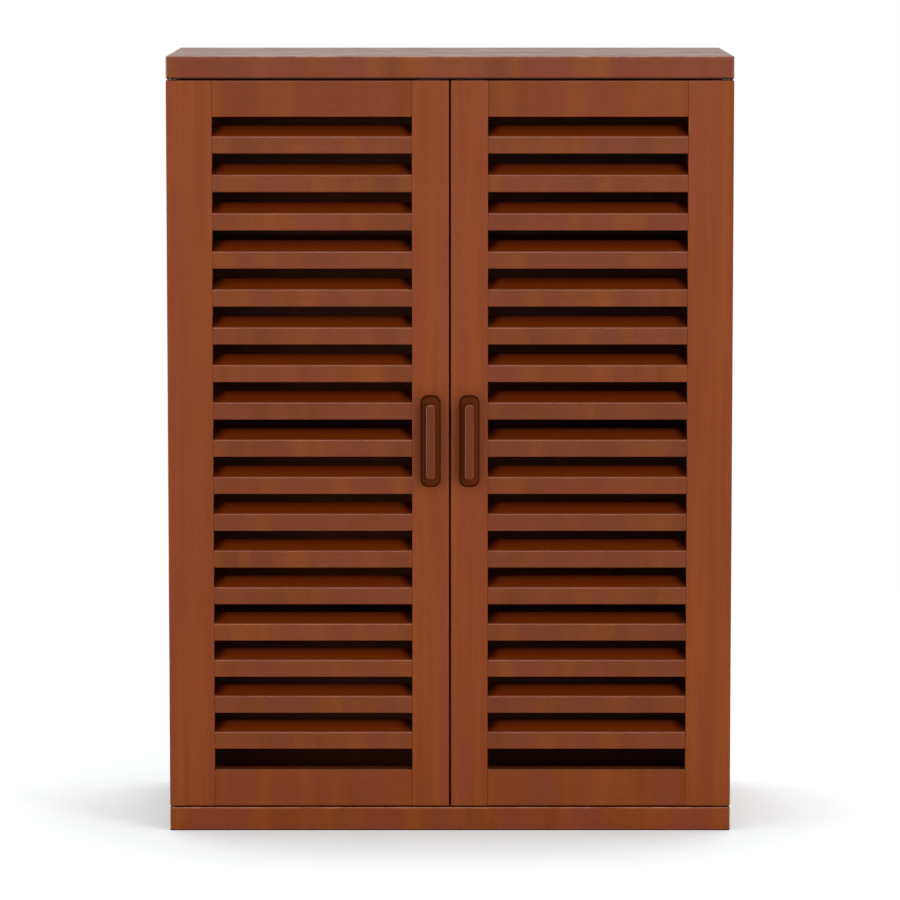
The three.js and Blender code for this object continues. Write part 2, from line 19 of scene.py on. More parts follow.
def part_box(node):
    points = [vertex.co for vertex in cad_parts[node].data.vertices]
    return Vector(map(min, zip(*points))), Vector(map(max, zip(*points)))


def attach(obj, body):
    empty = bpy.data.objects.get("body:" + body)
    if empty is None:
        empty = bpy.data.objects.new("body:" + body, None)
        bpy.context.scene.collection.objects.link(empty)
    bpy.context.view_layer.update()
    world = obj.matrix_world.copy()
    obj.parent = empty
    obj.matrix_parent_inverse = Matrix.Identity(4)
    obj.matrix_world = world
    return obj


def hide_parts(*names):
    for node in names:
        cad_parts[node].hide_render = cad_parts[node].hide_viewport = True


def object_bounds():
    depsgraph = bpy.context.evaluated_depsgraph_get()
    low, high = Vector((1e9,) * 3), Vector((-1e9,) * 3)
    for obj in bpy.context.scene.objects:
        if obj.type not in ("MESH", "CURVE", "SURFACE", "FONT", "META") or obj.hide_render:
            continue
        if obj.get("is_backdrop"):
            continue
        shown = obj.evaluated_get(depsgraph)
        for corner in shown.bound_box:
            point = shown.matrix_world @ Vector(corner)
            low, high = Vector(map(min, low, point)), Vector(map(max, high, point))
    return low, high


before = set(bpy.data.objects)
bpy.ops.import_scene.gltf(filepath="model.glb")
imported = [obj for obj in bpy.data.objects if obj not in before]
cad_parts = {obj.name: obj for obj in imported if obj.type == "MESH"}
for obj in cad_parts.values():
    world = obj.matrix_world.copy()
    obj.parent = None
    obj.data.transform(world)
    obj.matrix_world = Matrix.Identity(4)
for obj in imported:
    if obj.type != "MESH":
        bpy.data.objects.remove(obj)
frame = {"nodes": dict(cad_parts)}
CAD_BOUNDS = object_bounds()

LOG = logging.getLogger("cabinet")

Colour = tuple[float, float, float]
Place = tuple[float, float, float]
Socket = bpy.types.NodeSocket
Value = float | Socket

# Fits that the whole cabinet shares
SEAM_GAP = 0.0003
GLUE_LINE = 0.0001
JOINT_CLEARANCE = 0.0003
CUT_OVERRUN = 0.002

# How finely rounded edges are drawn, and the angle up to which a surface is shaded as smooth
EASE_STEPS = 3
CORNER_STEPS = 4
SMOOTH_UP_TO = math.radians(40)

# Directions that holes and screw heads face
INWARD, FRONT, REAR, DOWN = (1, 0, 0), (0, -1, 0), (0, 1, 0), (0, 0, -1)

# Middle of the handle for a piece that carries none, too far off for the painted handle shade to reach
NO_HANDLE = Vector((0.0, 0.0, 100.0))


class Axis(Enum):
    """Axis that a section runs along, or that the grain follows."""

    X = 0
    Y = 1
    Z = 2

    def point(self, u: float, v: float, along: float) -> Vector:
        """Returns the point of a section's u and v at a place along this axis."""
        return Vector({Axis.X: (along, u, v), Axis.Y: (u, along, v), Axis.Z: (u, v, along)}[self])


class Side(Enum):
    """Half of the cabinet, with the sign that turns a left-hand drawing into it."""

    LEFT = 1
    RIGHT = -1

    def node(self, piece: str) -> str:
        """Returns the full name of a piece of this half."""
        return f"{self.name.lower()}_{piece}"

    def box(self, piece: str) -> "Box":
        """Returns the box of this half's piece, mirrored into the left-hand drawing."""
        box = Box.of(self.node(piece))
        return box if self is Side.LEFT else box.mirrored()


class Figure(Enum):
    """How the soft colour bands lie: extent along the grain, extent across it, and how much of them shows."""

    STRAIGHT = (0.42, 0.016, 0.62)
    RIPPLED = (0.034, 0.30, 0.8)
    PLAIN = (0.40, 0.045, 0.8)


@dataclass(frozen=True)
class Box:
    """Upright box between two corners."""

    low: Vector
    high: Vector

    @classmethod
    def of(cls, node: str) -> "Box":
        """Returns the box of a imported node."""
        return cls(*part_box(node))

    @property
    def size(self) -> Vector:
        """Returns the box's extents."""
        return self.high - self.low

    @property
    def middle(self) -> Vector:
        """Returns the box's middle point."""
        return (self.low + self.high) / 2

    def mirrored(self) -> "Box":
        """Returns the box's image across x = 0."""
        low, high = self.low, self.high
        return Box(Vector((-high.x, low.y, low.z)), Vector((-low.x, high.y, high.z)))


@dataclass(frozen=True)
class Corner:
    """Corner of an outline with the radius that rounds it."""

    u: float
    v: float
    radius: float = 0.0


@dataclass(frozen=True)
class Outline:
    """Closed outline through corners that are listed anticlockwise.

    A corner with a radius becomes an arc of the same number of steps in every inset of the outline, so that
    insets can be joined point by point.
    """

    corners: tuple[Corner, ...]
    steps: int = CORNER_STEPS
    least_radius: float = 0.00002

    @classmethod
    def rectangle(
        cls,
        low: tuple[float, float],
        high: tuple[float, float],
        radii: float | Sequence[float],
        steps: int = CORNER_STEPS,
    ) -> "Outline":
        """Draws a rectangle.

        Args:
            low: Lowest u and v.
            high: Highest u and v.
            radii: One radius, or four from the lowest corner anticlockwise.
            steps: Steps of each corner's arc.

        Returns:
            The outline.
        """
        if isinstance(radii, (int, float)):
            radii = (radii,) * 4
        places = ((low[0], low[1]), (high[0], low[1]), (high[0], high[1]), (low[0], high[1]))
        corners = tuple(Corner(u, v, radius) for (u, v), radius in zip(places, radii))
        return cls(corners, steps)

    @classmethod
    def slanted(
        cls, middle: Vector, along: Vector, half_length: float, half_width: float, radius: float, steps: int
    ) -> "Outline":
        """Draws a turned rectangle.

        Args:
            middle: Its middle, in u and v.
            along: Unit vector of its long sides.
            half_length: Half of its extent along that vector.
            half_width: Half of its extent across it.
            radius: Radius of its corners.
            steps: Steps of each corner's arc.

        Returns:
            The outline.
        """
        square = Vector((-along.y, along.x))
        corners = []
        for end, edge in ((-1, -1), (1, -1), (1, 1), (-1, 1)):
            place = middle + along * (end * half_length) + square * (edge * half_width)
            corners.append(Corner(place.x, place.y, radius))
        return cls(tuple(corners), steps)

    @classmethod
    def cross(cls, arm: float, half_width: float) -> "Outline":
        """Draws a cross with four arms.

        Args:
            arm: Length of an arm from the cross's middle.
            half_width: Half of an arm's width.

        Returns:
            The outline.
        """
        turned = [(half_width, -half_width), (arm, -half_width), (arm, half_width)]
        places = []
        for _ in range(4):
            places.extend(turned)
            turned = [(-v, u) for u, v in turned]
        return cls(tuple(Corner(u, v) for u, v in places))

    def points(self, inset: float = 0.0) -> list[tuple[float, float]]:
        """Works out the points of the outline, or of its inset.

        Args:
            inset: Distance by which every side moves inwards.

        Returns:
            The points, anticlockwise.
        """
        found = []
        count = len(self.corners)
        for i, corner in enumerate(self.corners):
            before = self.corners[i - 1]
            after = self.corners[(i + 1) % count]
            arriving = Vector((corner.u - before.u, corner.v - before.v)).normalized()
            leaving = Vector((after.u - corner.u, after.v - corner.v)).normalized()
            normals = Vector((-arriving.y, arriving.x)), Vector((-leaving.y, leaving.x))
            shift = (normals[0] + normals[1]) * (inset / (1 + normals[0].dot(normals[1])))
            place = Vector((corner.u, corner.v)) + shift
            if corner.radius == 0:
                found.append((place.x, place.y))
                continue
            turn = math.atan2(arriving.x * leaving.y - arriving.y * leaving.x, arriving.dot(leaving))
            radius = max(corner.radius - inset, self.least_radius)
            start = place - arriving * (radius * math.tan(abs(turn) / 2))
            centre = start + normals[0] * math.copysign(radius, turn)
            spoke = start - centre
            for step in range(self.steps + 1):
                angle = turn * step / self.steps
                cosine, sine = math.cos(angle), math.sin(angle)
                u = centre.x + spoke.x * cosine - spoke.y * sine
                found.append((u, centre.y + spoke.x * sine + spoke.y * cosine))
        return found

    def ring(self, axis: Axis, along: float, inset: float = 0.0) -> list[Vector]:
        """Returns the outline or its inset as a ring of points at a place along an axis."""
        return [axis.point(u, v, along) for u, v in self.points(inset)]


@dataclass
class Shell:
    """Closed skin of points and faces, or several of them together."""

    points: list[Vector]
    faces: list[list[int]]

    @classmethod
    def loft(cls, rings: Sequence[Sequence[Vector]]) -> "Shell":
        """Joins rings of equally many points and closes both ends.

        Args:
            rings: The rings, from one end to the other.

        Returns:
            The closed skin.
        """
        count = len(rings[0])
        points = [point for ring in rings for point in ring]
        faces = [list(range(count))]
        for level in range(len(rings) - 1):
            first = level * count
            for i in range(count):
                j = (i + 1) % count
                faces.append([first + i, first + j, first + count + j, first + count + i])
        last = (len(rings) - 1) * count
        faces.append(list(range(last, last + count)))
        return cls(points, faces)

    @classmethod
    def prism(
        cls,
        outline: Outline,
        axis: Axis,
        start: float,
        end: float,
        ease: float = 0.0,
        ease_steps: int = EASE_STEPS,
    ) -> "Shell":
        """Runs an outline along an axis, with both ends eased by a quarter round.

        Args:
            outline: Section of the prism.
            axis: Axis that it runs along.
            start: Lower end.
            end: Upper end.
            ease: Radius of the easing round both ends, or zero.
            ease_steps: Steps of that easing.

        Returns:
            The closed skin.
        """
        if ease == 0:
            return cls.loft([outline.ring(axis, start), outline.ring(axis, end)])
        lower, upper = [], []
        for step in range(ease_steps + 1):
            angle = math.pi / 2 * step / ease_steps
            inset, rise = ease * (1 - math.sin(angle)), ease * (1 - math.cos(angle))
            lower.append(outline.ring(axis, start + rise, inset))
            upper.append(outline.ring(axis, end - rise, inset))
        return cls.loft([*lower, *reversed(upper)])

    @classmethod
    def block(cls, low: Sequence[float], high: Sequence[float], ease: float = 0.0) -> "Shell":
        """Makes a box.

        Args:
            low: One corner of it.
            high: The opposite corner. Along each axis, either one can be the lower.
            ease: Radius that eases its arrises, or zero.

        Returns:
            The closed skin.
        """
        low, high = [min(pair) for pair in zip(low, high)], [max(pair) for pair in zip(low, high)]
        outline = Outline.rectangle((low[0], low[1]), (high[0], high[1]), ease, EASE_STEPS)
        return cls.prism(outline, Axis.Z, low[2], high[2], ease)

    @classmethod
    def lathe(cls, profile: Sequence[tuple[float, float]], sides: int) -> "Shell":
        """Turns a profile about Z.

        Args:
            profile: Radius and height of each point, from one end to the other, all off the axis.
            sides: Sides of the turned form.

        Returns:
            The closed skin.
        """
        rings = []
        for radius, height in profile:
            turns = (math.tau * i / sides for i in range(sides))
            rings.append([Vector((radius * math.cos(t), radius * math.sin(t), height)) for t in turns])
        return cls.loft(rings)

    @classmethod
    def sector(
        cls,
        radii: tuple[float, float],
        turn: tuple[float, float],
        heights: tuple[float, float],
        steps: int = 16,
    ) -> "Shell":
        """Makes a sector of a ring about Z.

        Args:
            radii: Inner and outer radius.
            turn: Angles where it starts and ends.
            heights: Heights of its lower and upper face.
            steps: Steps of its curved faces.

        Returns:
            The closed skin.
        """
        (inner, outer), (start, end) = radii, turn
        turns = [start + (end - start) * i / steps for i in range(steps + 1)]
        spokes = [(math.cos(t), math.sin(t)) for t in turns]
        rim = [(outer * c, outer * s) for c, s in spokes]
        rim += [(inner * c, inner * s) for c, s in reversed(spokes)]
        return cls.loft([[Vector((x, y, z)) for x, y in rim] for z in heights])

    def moved(self, matrix: Matrix) -> "Shell":
        """Returns the skin moved by a matrix."""
        return Shell([matrix @ point for point in self.points], self.faces)

    def at(self, x: float, y: float, z: float) -> "Shell":
        """Returns the skin shifted by a distance along each axis."""
        return self.moved(Matrix.Translation((x, y, z)))

    def facing(self, direction: Sequence[float]) -> "Shell":
        """Returns the skin with its +Z turned to a direction."""
        turn = Vector(direction).to_track_quat("Z", "Y")
        return self.moved(turn.to_matrix().to_4x4())

    @staticmethod
    def together(shells: Sequence["Shell"]) -> "Shell":
        """Puts several skins into one list of points and faces, without joining them.

        Args:
            shells: The skins.

        Returns:
            All of them as one.
        """
        points: list[Vector] = []
        faces: list[list[int]] = []
        for shell in shells:
            first = len(points)
            points.extend(shell.points)
            faces.extend([first + i for i in face] for face in shell.faces)
        return Shell(points, faces)

    def mesh(self, name: str) -> bpy.types.Mesh:
        """Makes a mesh with its faces pointing out.

        Args:
            name: Name of the mesh.

        Returns:
            The mesh.
        """
        mesh = bpy.data.meshes.new(name)
        mesh.from_pydata(self.points, [], self.faces)
        work = bmesh.new()
        work.from_mesh(mesh)
        bmesh.ops.recalc_face_normals(work, faces=work.faces)
        work.to_mesh(mesh)
        work.free()
        return mesh


@dataclass(frozen=True)
class Grain:
    """How a wooden piece lies in its board: the grain's axis, its colour bands and its tone."""

    axis: Axis
    figure: Figure
    tone: float = 1.0
    tone_spread: float = 0.035
    reach_into_board: float = 3.0

    def write(self, mesh: bpy.types.Mesh, name: str) -> None:
        """Writes where each point lies in its board.

        Args:
            mesh: Mesh that gets the coordinates.
            name: Name of the piece, which sets its own stretch of board.
        """
        draw = random.Random(name)
        reach = self.reach_into_board
        start = Vector(draw.uniform(-reach, reach) for _ in range(3))
        run, spread, play = self.figure.value
        tone = self.tone * (1 + draw.uniform(-self.tone_spread, self.tone_spread))
        order = {Axis.X: (0, 1, 2), Axis.Y: (1, 2, 0), Axis.Z: (2, 0, 1)}[self.axis]
        grain, figure = [], []
        for vertex in mesh.vertices:
            place = Vector(vertex.co[i] for i in order) + start
            grain.extend(place)
            figure.extend((place.x / run, place.y / spread, place.z / spread))
        write_vectors(mesh, "grain", grain)
        write_vectors(mesh, "figure", figure)
        for label, value in (("tone", tone), ("play", play)):
            attribute = mesh.attributes.new(label, "FLOAT", "POINT")
            attribute.data.foreach_set("value", [value] * len(mesh.vertices))


def write_vectors(mesh: bpy.types.Mesh, name: str, values: list[float]) -> None:
    """Writes one vector for each point of a mesh, from a flat list of numbers."""
    attribute = mesh.attributes.new(name, "FLOAT_VECTOR", "POINT")
    attribute.data.foreach_set("vector", values)


class Piece:
    """Visible piece while it is made: its skin is cut, then dressed, then set on its body."""

    def __init__(self, name: str, shell: Shell, side: Side = Side.LEFT) -> None:
        """Starts a piece.

        Args:
            name: Name of the piece.
            shell: Its skin, drawn for the left half.
            side: Half of the cabinet that it belongs to.
        """
        self.name = name
        self.side = side
        self.object = bpy.data.objects.new(name, shell.mesh(name))
        bpy.context.scene.collection.objects.link(self.object)

    def _combined(self, shells: Sequence[Shell], operation: str) -> "Piece":
        """Joins the piece with skins, or cuts them out of it.

        Args:
            shells: The skins.
            operation: Operation of the boolean modifier.

        Returns:
            The piece.
        """
        tool = bpy.data.objects.new("tool", Shell.together(shells).mesh("tool"))
        bpy.context.scene.collection.objects.link(tool)
        modifier = self.object.modifiers.new("combine", "BOOLEAN")
        modifier.operation = operation
        modifier.solver = "EXACT"
        modifier.object = tool
        graph = bpy.context.evaluated_depsgraph_get()
        result = bpy.data.meshes.new_from_object(self.object.evaluated_get(graph))
        self.object.modifiers.clear()
        spent = self.object.data, tool.data
        self.object.data = result
        bpy.data.objects.remove(tool)
        for mesh in spent:
            bpy.data.meshes.remove(mesh)
        result.name = self.name
        return self

    def cut(self, shells: Sequence[Shell]) -> "Piece":
        """Cuts skins out of the piece and returns it."""
        return self._combined(shells, "DIFFERENCE")

    def join(self, shells: Sequence[Shell]) -> "Piece":
        """Joins skins to the piece and returns it."""
        return self._combined(shells, "UNION")

    def settle(
        self,
        body: str,
        slot: str,
        finishes: "Finishes",
        replaces: Sequence[str] = (),
        grain: Grain | None = None,
        rim: Callable[[Vector], Vector] | None = None,
        held_at: Vector | None = None,
    ) -> bpy.types.Object:
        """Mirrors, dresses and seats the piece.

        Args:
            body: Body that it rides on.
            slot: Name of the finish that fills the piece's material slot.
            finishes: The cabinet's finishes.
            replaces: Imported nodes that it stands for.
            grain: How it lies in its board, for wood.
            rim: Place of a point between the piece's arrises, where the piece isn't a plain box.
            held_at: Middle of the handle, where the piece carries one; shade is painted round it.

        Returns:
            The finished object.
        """
        mesh = self.object.data
        if grain:
            hold = held_at or NO_HANDLE
            write_vectors(mesh, "hold", [number for vertex in mesh.vertices for number in vertex.co - hold])
        self._note_arrises(mesh, rim)
        if self.side is Side.RIGHT:
            mesh.transform(Matrix.Diagonal((-1, 1, 1, 1)))
            mesh.flip_normals()
        if grain:
            grain.write(mesh, self.name)
        mesh.polygons.foreach_set("use_smooth", [True] * len(mesh.polygons))
        mesh.set_sharp_from_angle(angle=SMOOTH_UP_TO)
        mesh.materials.clear()
        mesh.materials.append(finishes[slot])
        shading = self.object.modifiers.new("even shading", "WEIGHTED_NORMAL")
        shading.keep_sharp = True
        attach(self.object, body)
        if replaces:
            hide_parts(*replaces)
        LOG.info("%s: %d faces on %s", self.name, len(mesh.polygons), body)
        return self.object

    @staticmethod
    def _note_arrises(mesh: bpy.types.Mesh, rim: Callable[[Vector], Vector] | None) -> None:
        """Writes how far each point lies from the middle of the piece, and how far its sides do.

        Args:
            mesh: Mesh of the piece.
            rim: Place of a point between the piece's arrises, where the piece isn't a plain box.
        """
        corners = [vertex.co for vertex in mesh.vertices]
        places = [rim(corner) for corner in corners] if rim else [corner.copy() for corner in corners]
        low = Vector(min(place[i] for place in places) for i in range(3))
        high = Vector(max(place[i] for place in places) for i in range(3))
        middle, reach = (low + high) / 2, (high - low) / 2
        write_vectors(mesh, "place", [number for place in places for number in place - middle])
        write_vectors(mesh, "reach", list(reach) * len(places))


class Lie(Enum):
    """Ways that a surface lies: the upright parts of its normal between which a mask goes from 0 to 1."""

    SLOPING_UP = (0.1, 0.4)
    LEVEL = (0.8, 0.95)
    NOT_UNDERNEATH = (-0.98, -0.85)


@dataclass(frozen=True)
class Cloud:
    """Noise, and the levels of it between which a mask goes from 0 to 1."""

    scale: float
    detail: float
    roughness: float
    empty_at: float = 0.0
    full_at: float = 1.0


class Graph:
    """Short way to write the nodes of a material, world or group."""

    def __init__(self, tree: bpy.types.NodeTree) -> None:
        """Starts with an empty tree."""
        self.tree = tree
        tree.nodes.clear()

    @classmethod
    def of_material(cls, name: str) -> tuple[bpy.types.Material, "Graph", bpy.types.Node]:
        """Starts a material.

        Args:
            name: Its name.

        Returns:
            The material, its graph and its shader.
        """
        material = bpy.data.materials.new(name)
        material.use_nodes = True
        graph = cls(material.node_tree)
        shader = graph.node("ShaderNodeBsdfPrincipled")
        graph.feed(graph.node("ShaderNodeOutputMaterial").inputs["Surface"], shader.outputs[0])
        return material, graph, shader

    def node(self, kind: str, **settings: object) -> bpy.types.Node:
        """Adds a node.

        Args:
            kind: Its type.
            **settings: Its properties.

        Returns:
            The node.
        """
        node = self.tree.nodes.new(kind)
        for name, value in settings.items():
            setattr(node, name, value)
        return node

    def feed(self, target: Socket, value: Value | Sequence[float]) -> None:
        """Feeds an input.

        Args:
            target: The input.
            value: Socket to link to it, or constant to set it to.
        """
        if isinstance(value, bpy.types.NodeSocket):
            self.tree.links.new(value, target)
        else:
            target.default_value = value

    def math(self, operation: str, first: Value, second: Value = 0.0, third: Value = 0.0) -> Socket:
        """Works out a number.

        Args:
            operation: Operation of the math node.
            first: First value.
            second: Second value, where the operation has one.
            third: Third value, where the operation has one.

        Returns:
            The result.
        """
        node = self.node("ShaderNodeMath", operation=operation)
        for target, value in zip(node.inputs, (first, second, third)):
            self.feed(target, value)
        return node.outputs["Value"]

    def rest(self, share: Socket) -> Socket:
        """Returns what a share leaves of 1."""
        return self.math("SUBTRACT", 1.0, share)

    def vector(self, operation: str, *values: Value | Sequence[float]) -> Socket:
        """Works out a vector.

        Args:
            operation: Operation of the vector math node.
            *values: One value or two.

        Returns:
            The result.
        """
        node = self.node("ShaderNodeVectorMath", operation=operation)
        for target, value in zip(node.inputs, values):
            self.feed(target, value)
        return node.outputs["Vector"]

    def attribute(self, name: str, output: str = "Vector") -> Socket:
        """Returns what a mesh holds under a name."""
        return self.node("ShaderNodeAttribute", attribute_name=name).outputs[output]

    def parts(self, vector: Socket) -> list[Socket]:
        """Splits a vector.

        Args:
            vector: The vector.

        Returns:
            Its x, y and z.
        """
        node = self.node("ShaderNodeSeparateXYZ")
        self.feed(node.inputs[0], vector)
        return list(node.outputs)

    def lying(self, lie: Lie) -> Socket:
        """Returns 1 where the surface lies in a way, and 0 elsewhere."""
        return self.ramp(self.parts(self.node("ShaderNodeNewGeometry").outputs["Normal"])[2], *lie.value)

    def ramp(self, value: Socket, low: Value, high: Value) -> Socket:
        """Draws a value smoothly into 0 to 1.

        Args:
            value: The value.
            low: Where the result leaves 0.
            high: Where it reaches 1.

        Returns:
            The result.
        """
        node = self.node("ShaderNodeMapRange", interpolation_type="SMOOTHSTEP")
        for name, given in (("Value", value), ("From Min", low), ("From Max", high)):
            self.feed(node.inputs[name], given)
        return node.outputs["Result"]

    def noise(self, place: Socket, cloud: Cloud, fineness: Socket | None = None) -> Socket:
        """Draws a cloud's noise.

        Args:
            place: Coordinates that it lies in.
            cloud: The cloud.
            fineness: Number by which its scale is multiplied, where there is one.

        Returns:
            The noise.
        """
        node = self.node("ShaderNodeTexNoise")
        scale = cloud.scale if fineness is None else self.math("MULTIPLY", fineness, cloud.scale)
        given = {"Vector": place, "Scale": scale, "Detail": cloud.detail, "Roughness": cloud.roughness}
        for name, value in given.items():
            self.feed(node.inputs[name], value)
        return node.outputs["Fac"]

    def mask(self, place: Socket, cloud: Cloud, fineness: Socket | None = None) -> Socket:
        """Returns a cloud's noise as a mask between its two levels."""
        return self.ramp(self.noise(place, cloud, fineness), cloud.empty_at, cloud.full_at)

    def blend(self, factor: Value, first: Socket | Colour, second: Socket | Colour) -> Socket:
        """Mixes two colours.

        Args:
            factor: 0 for the first and 1 for the second.
            first: First colour.
            second: Second colour.

        Returns:
            The colour between them.
        """
        node = self.node("ShaderNodeMix", data_type="RGBA")
        colours = [socket for socket in node.inputs if socket.type == "RGBA"]
        self.feed(node.inputs[0], factor)
        for target, value in zip(colours, (first, second)):
            self.feed(target, value if isinstance(value, bpy.types.NodeSocket) else (*value, 1.0))
        return next(socket for socket in node.outputs if socket.type == "RGBA")

    def bump(self, height: Socket, depth: float, under: Socket | None = None) -> Socket:
        """Raises a relief.

        Args:
            height: Its height from 0 to 1.
            depth: What a height of 1 measures.
            under: Normal of the relief that it lies on, where there is one.

        Returns:
            The normal.
        """
        node = self.node("ShaderNodeBump")
        node.inputs["Distance"].default_value = depth
        self.feed(node.inputs["Height"], height)
        if under is not None:
            self.feed(node.inputs["Normal"], under)
        return node.outputs["Normal"]

    def put(self, group: bpy.types.NodeTree, **values: Value) -> bpy.types.NodeOutputs:
        """Places a group.

        Args:
            group: The group.
            **values: Its inputs where they aren't the usual ones, in small letters with underscores.

        Returns:
            Its outputs.
        """
        node = self.node("ShaderNodeGroup", node_tree=group)
        for name, value in values.items():
            self.feed(node.inputs[name.replace("_", " ").title()], value)
        return node.outputs


class EffectGroups:
    """Shader node groups for the effects that several finishes share."""

    bands = Cloud(scale=1.0, detail=2.0, roughness=0.45, empty_at=0.3, full_at=0.7)
    drift = Cloud(scale=0.7, detail=1.0, roughness=0.4, empty_at=0.35, full_at=0.65)
    drift_shift = (7.3, 2.9, 5.1)
    streaks = Cloud(scale=1.0, detail=3.0, roughness=0.6, empty_at=0.32, full_at=0.72)
    pores = Cloud(scale=1.0, detail=1.0, roughness=0.5, empty_at=0.60, full_at=0.72)
    streak_height = 0.35
    rubbed = Cloud(scale=1.0, detail=4.0, roughness=0.6, empty_at=0.36, full_at=0.62)
    gloss_patches = Cloud(scale=1.0, detail=3.0, roughness=0.55)
    gloss_contrast = 4.0
    ripples = Cloud(scale=1.7, detail=1.0, roughness=0.4)

    def __init__(self) -> None:
        """Builds each group once."""
        self.wood_figure = self._wood_figure()
        self.arris_wear = self._arris_wear()
        self.surface_film = self._surface_film()
        self.hand_patina = self._hand_patina()
        self.dark_glaze = self._dark_glaze()

    @staticmethod
    def _start(
        name: str, inputs: dict[str, float], outputs: Sequence[str]
    ) -> tuple[bpy.types.NodeTree, Graph, bpy.types.NodeOutputs, bpy.types.NodeInputs]:
        """Starts a group.

        Args:
            name: Name of the group.
            inputs: Its inputs with their usual values.
            outputs: Names of its outputs.

        Returns:
            The group, its graph, its inputs' sockets and its outputs' sockets.
        """
        tree = bpy.data.node_groups.new(name, "ShaderNodeTree")
        for label, value in inputs.items():
            socket = tree.interface.new_socket(name=label, in_out="INPUT", socket_type="NodeSocketFloat")
            socket.default_value = value
        for label in outputs:
            tree.interface.new_socket(name=label, in_out="OUTPUT", socket_type="NodeSocketFloat")
        graph = Graph(tree)
        given = graph.node("NodeGroupInput").outputs
        asked = graph.node("NodeGroupOutput").inputs
        return tree, graph, given, asked

    def _wood_figure(self) -> bpy.types.NodeTree:
        """Draws bands, drift of hue, streaks, pores and their relief.

        Returns:
            The group.
        """
        inputs = {"Streak Length": 0.11, "Streak Width": 0.0016, "Pore Length": 0.007, "Pore Width": 0.00045}
        outputs = ("Bands", "Drift", "Streaks", "Pores", "Relief")
        tree, graph, given, asked = self._start("wood_figure", inputs, outputs)
        figure = graph.attribute("figure")
        grain = graph.attribute("grain")

        def stretched(kind: str) -> Socket:
            """Counts the grain's coordinates in lengths and widths of streaks or pores.

            Args:
                kind: Streak or Pore.

            Returns:
                The coordinates.
            """
            node = graph.node("ShaderNodeCombineXYZ")
            for axis, extent in (("X", "Length"), ("Y", "Width"), ("Z", "Width")):
                graph.feed(node.inputs[axis], graph.math("DIVIDE", 1.0, given[f"{kind} {extent}"]))
            return graph.vector("MULTIPLY", grain, node.outputs["Vector"])

        bands = graph.mask(figure, self.bands)
        drift = graph.mask(graph.vector("ADD", figure, self.drift_shift), self.drift)
        play = graph.attribute("play", "Fac")
        for name, mask in (("Bands", bands), ("Drift", drift)):
            centred = graph.math("SUBTRACT", mask, 0.5)
            graph.feed(asked[name], graph.math("MULTIPLY_ADD", centred, play, 0.5))
        streaks = graph.mask(stretched("Streak"), self.streaks)
        pores = graph.mask(stretched("Pore"), self.pores)
        graph.feed(asked["Streaks"], streaks)
        graph.feed(asked["Pores"], pores)
        sunken = graph.math("MULTIPLY", pores, -1.0)
        graph.feed(asked["Relief"], graph.math("MULTIPLY_ADD", streaks, self.streak_height, sunken))
        return tree

    def _arris_wear(self) -> bpy.types.NodeTree:
        """Finds the lighter line along a piece's arrises: partly rubbed wear, partly a painted highlight.

        Returns:
            The group.
        """
        inputs = {"Width": 0.0016, "Patch Size": 0.03}
        tree, graph, given, asked = self._start("arris_wear", inputs, ("Wear",))
        place = graph.vector("ABSOLUTE", graph.attribute("place"))
        x, y, z = graph.parts(graph.vector("SUBTRACT", graph.attribute("reach"), place))
        nearer, farther = graph.math("MINIMUM", x, y), graph.math("MAXIMUM", x, y)
        edge = graph.math("MAXIMUM", nearer, graph.math("MINIMUM", farther, z))
        line = graph.rest(graph.ramp(edge, 0.0, given["Width"]))
        fineness = graph.math("DIVIDE", 1.0, given["Patch Size"])
        patches = graph.mask(graph.attribute("grain"), self.rubbed, fineness)
        graph.feed(asked["Wear"], graph.math("MULTIPLY", line, patches))
        return tree

    def _surface_film(self) -> bpy.types.NodeTree:
        """Draws the uneven gloss and the faint waves of a sprayed or plated surface.

        Returns:
            The group.
        """
        inputs = {"Mean": 0.4, "Spread": 0.06, "Patch Size": 0.06}
        tree, graph, given, asked = self._start("surface_film", inputs, ("Roughness", "Ripple"))
        place = graph.node("ShaderNodeTexCoord").outputs["Object"]
        fineness = graph.math("DIVIDE", 1.0, given["Patch Size"])
        centred = graph.math("SUBTRACT", graph.noise(place, self.gloss_patches, fineness), 0.5)
        spread = graph.math("MULTIPLY", centred, given["Spread"])
        roughness = graph.math("MULTIPLY_ADD", spread, self.gloss_contrast, given["Mean"])
        graph.feed(asked["Roughness"], roughness)
        graph.feed(asked["Ripple"], graph.noise(place, self.ripples, fineness))
        return tree

    def _hand_patina(self) -> bpy.types.NodeTree:
        """Finds where shade is painted on the wood round a handle, darkest close beside it.

        Returns:
            The group.
        """
        inputs = {"Half Width": 0.032, "Half Height": 0.088, "Fade Width": 0.016, "Fade Height": 0.040}
        tree, graph, given, asked = self._start("hand_patina", inputs, ("Patina",))
        x, _, z = graph.parts(graph.attribute("hold"))
        masks = []
        for distance, label in ((x, "Width"), (z, "Height")):
            outer = given[f"Half {label}"]
            inner = graph.math("SUBTRACT", outer, given[f"Fade {label}"])
            masks.append(graph.rest(graph.ramp(graph.math("ABSOLUTE", distance), inner, outer)))
        graph.feed(asked["Patina"], graph.math("MULTIPLY", *masks))
        return tree

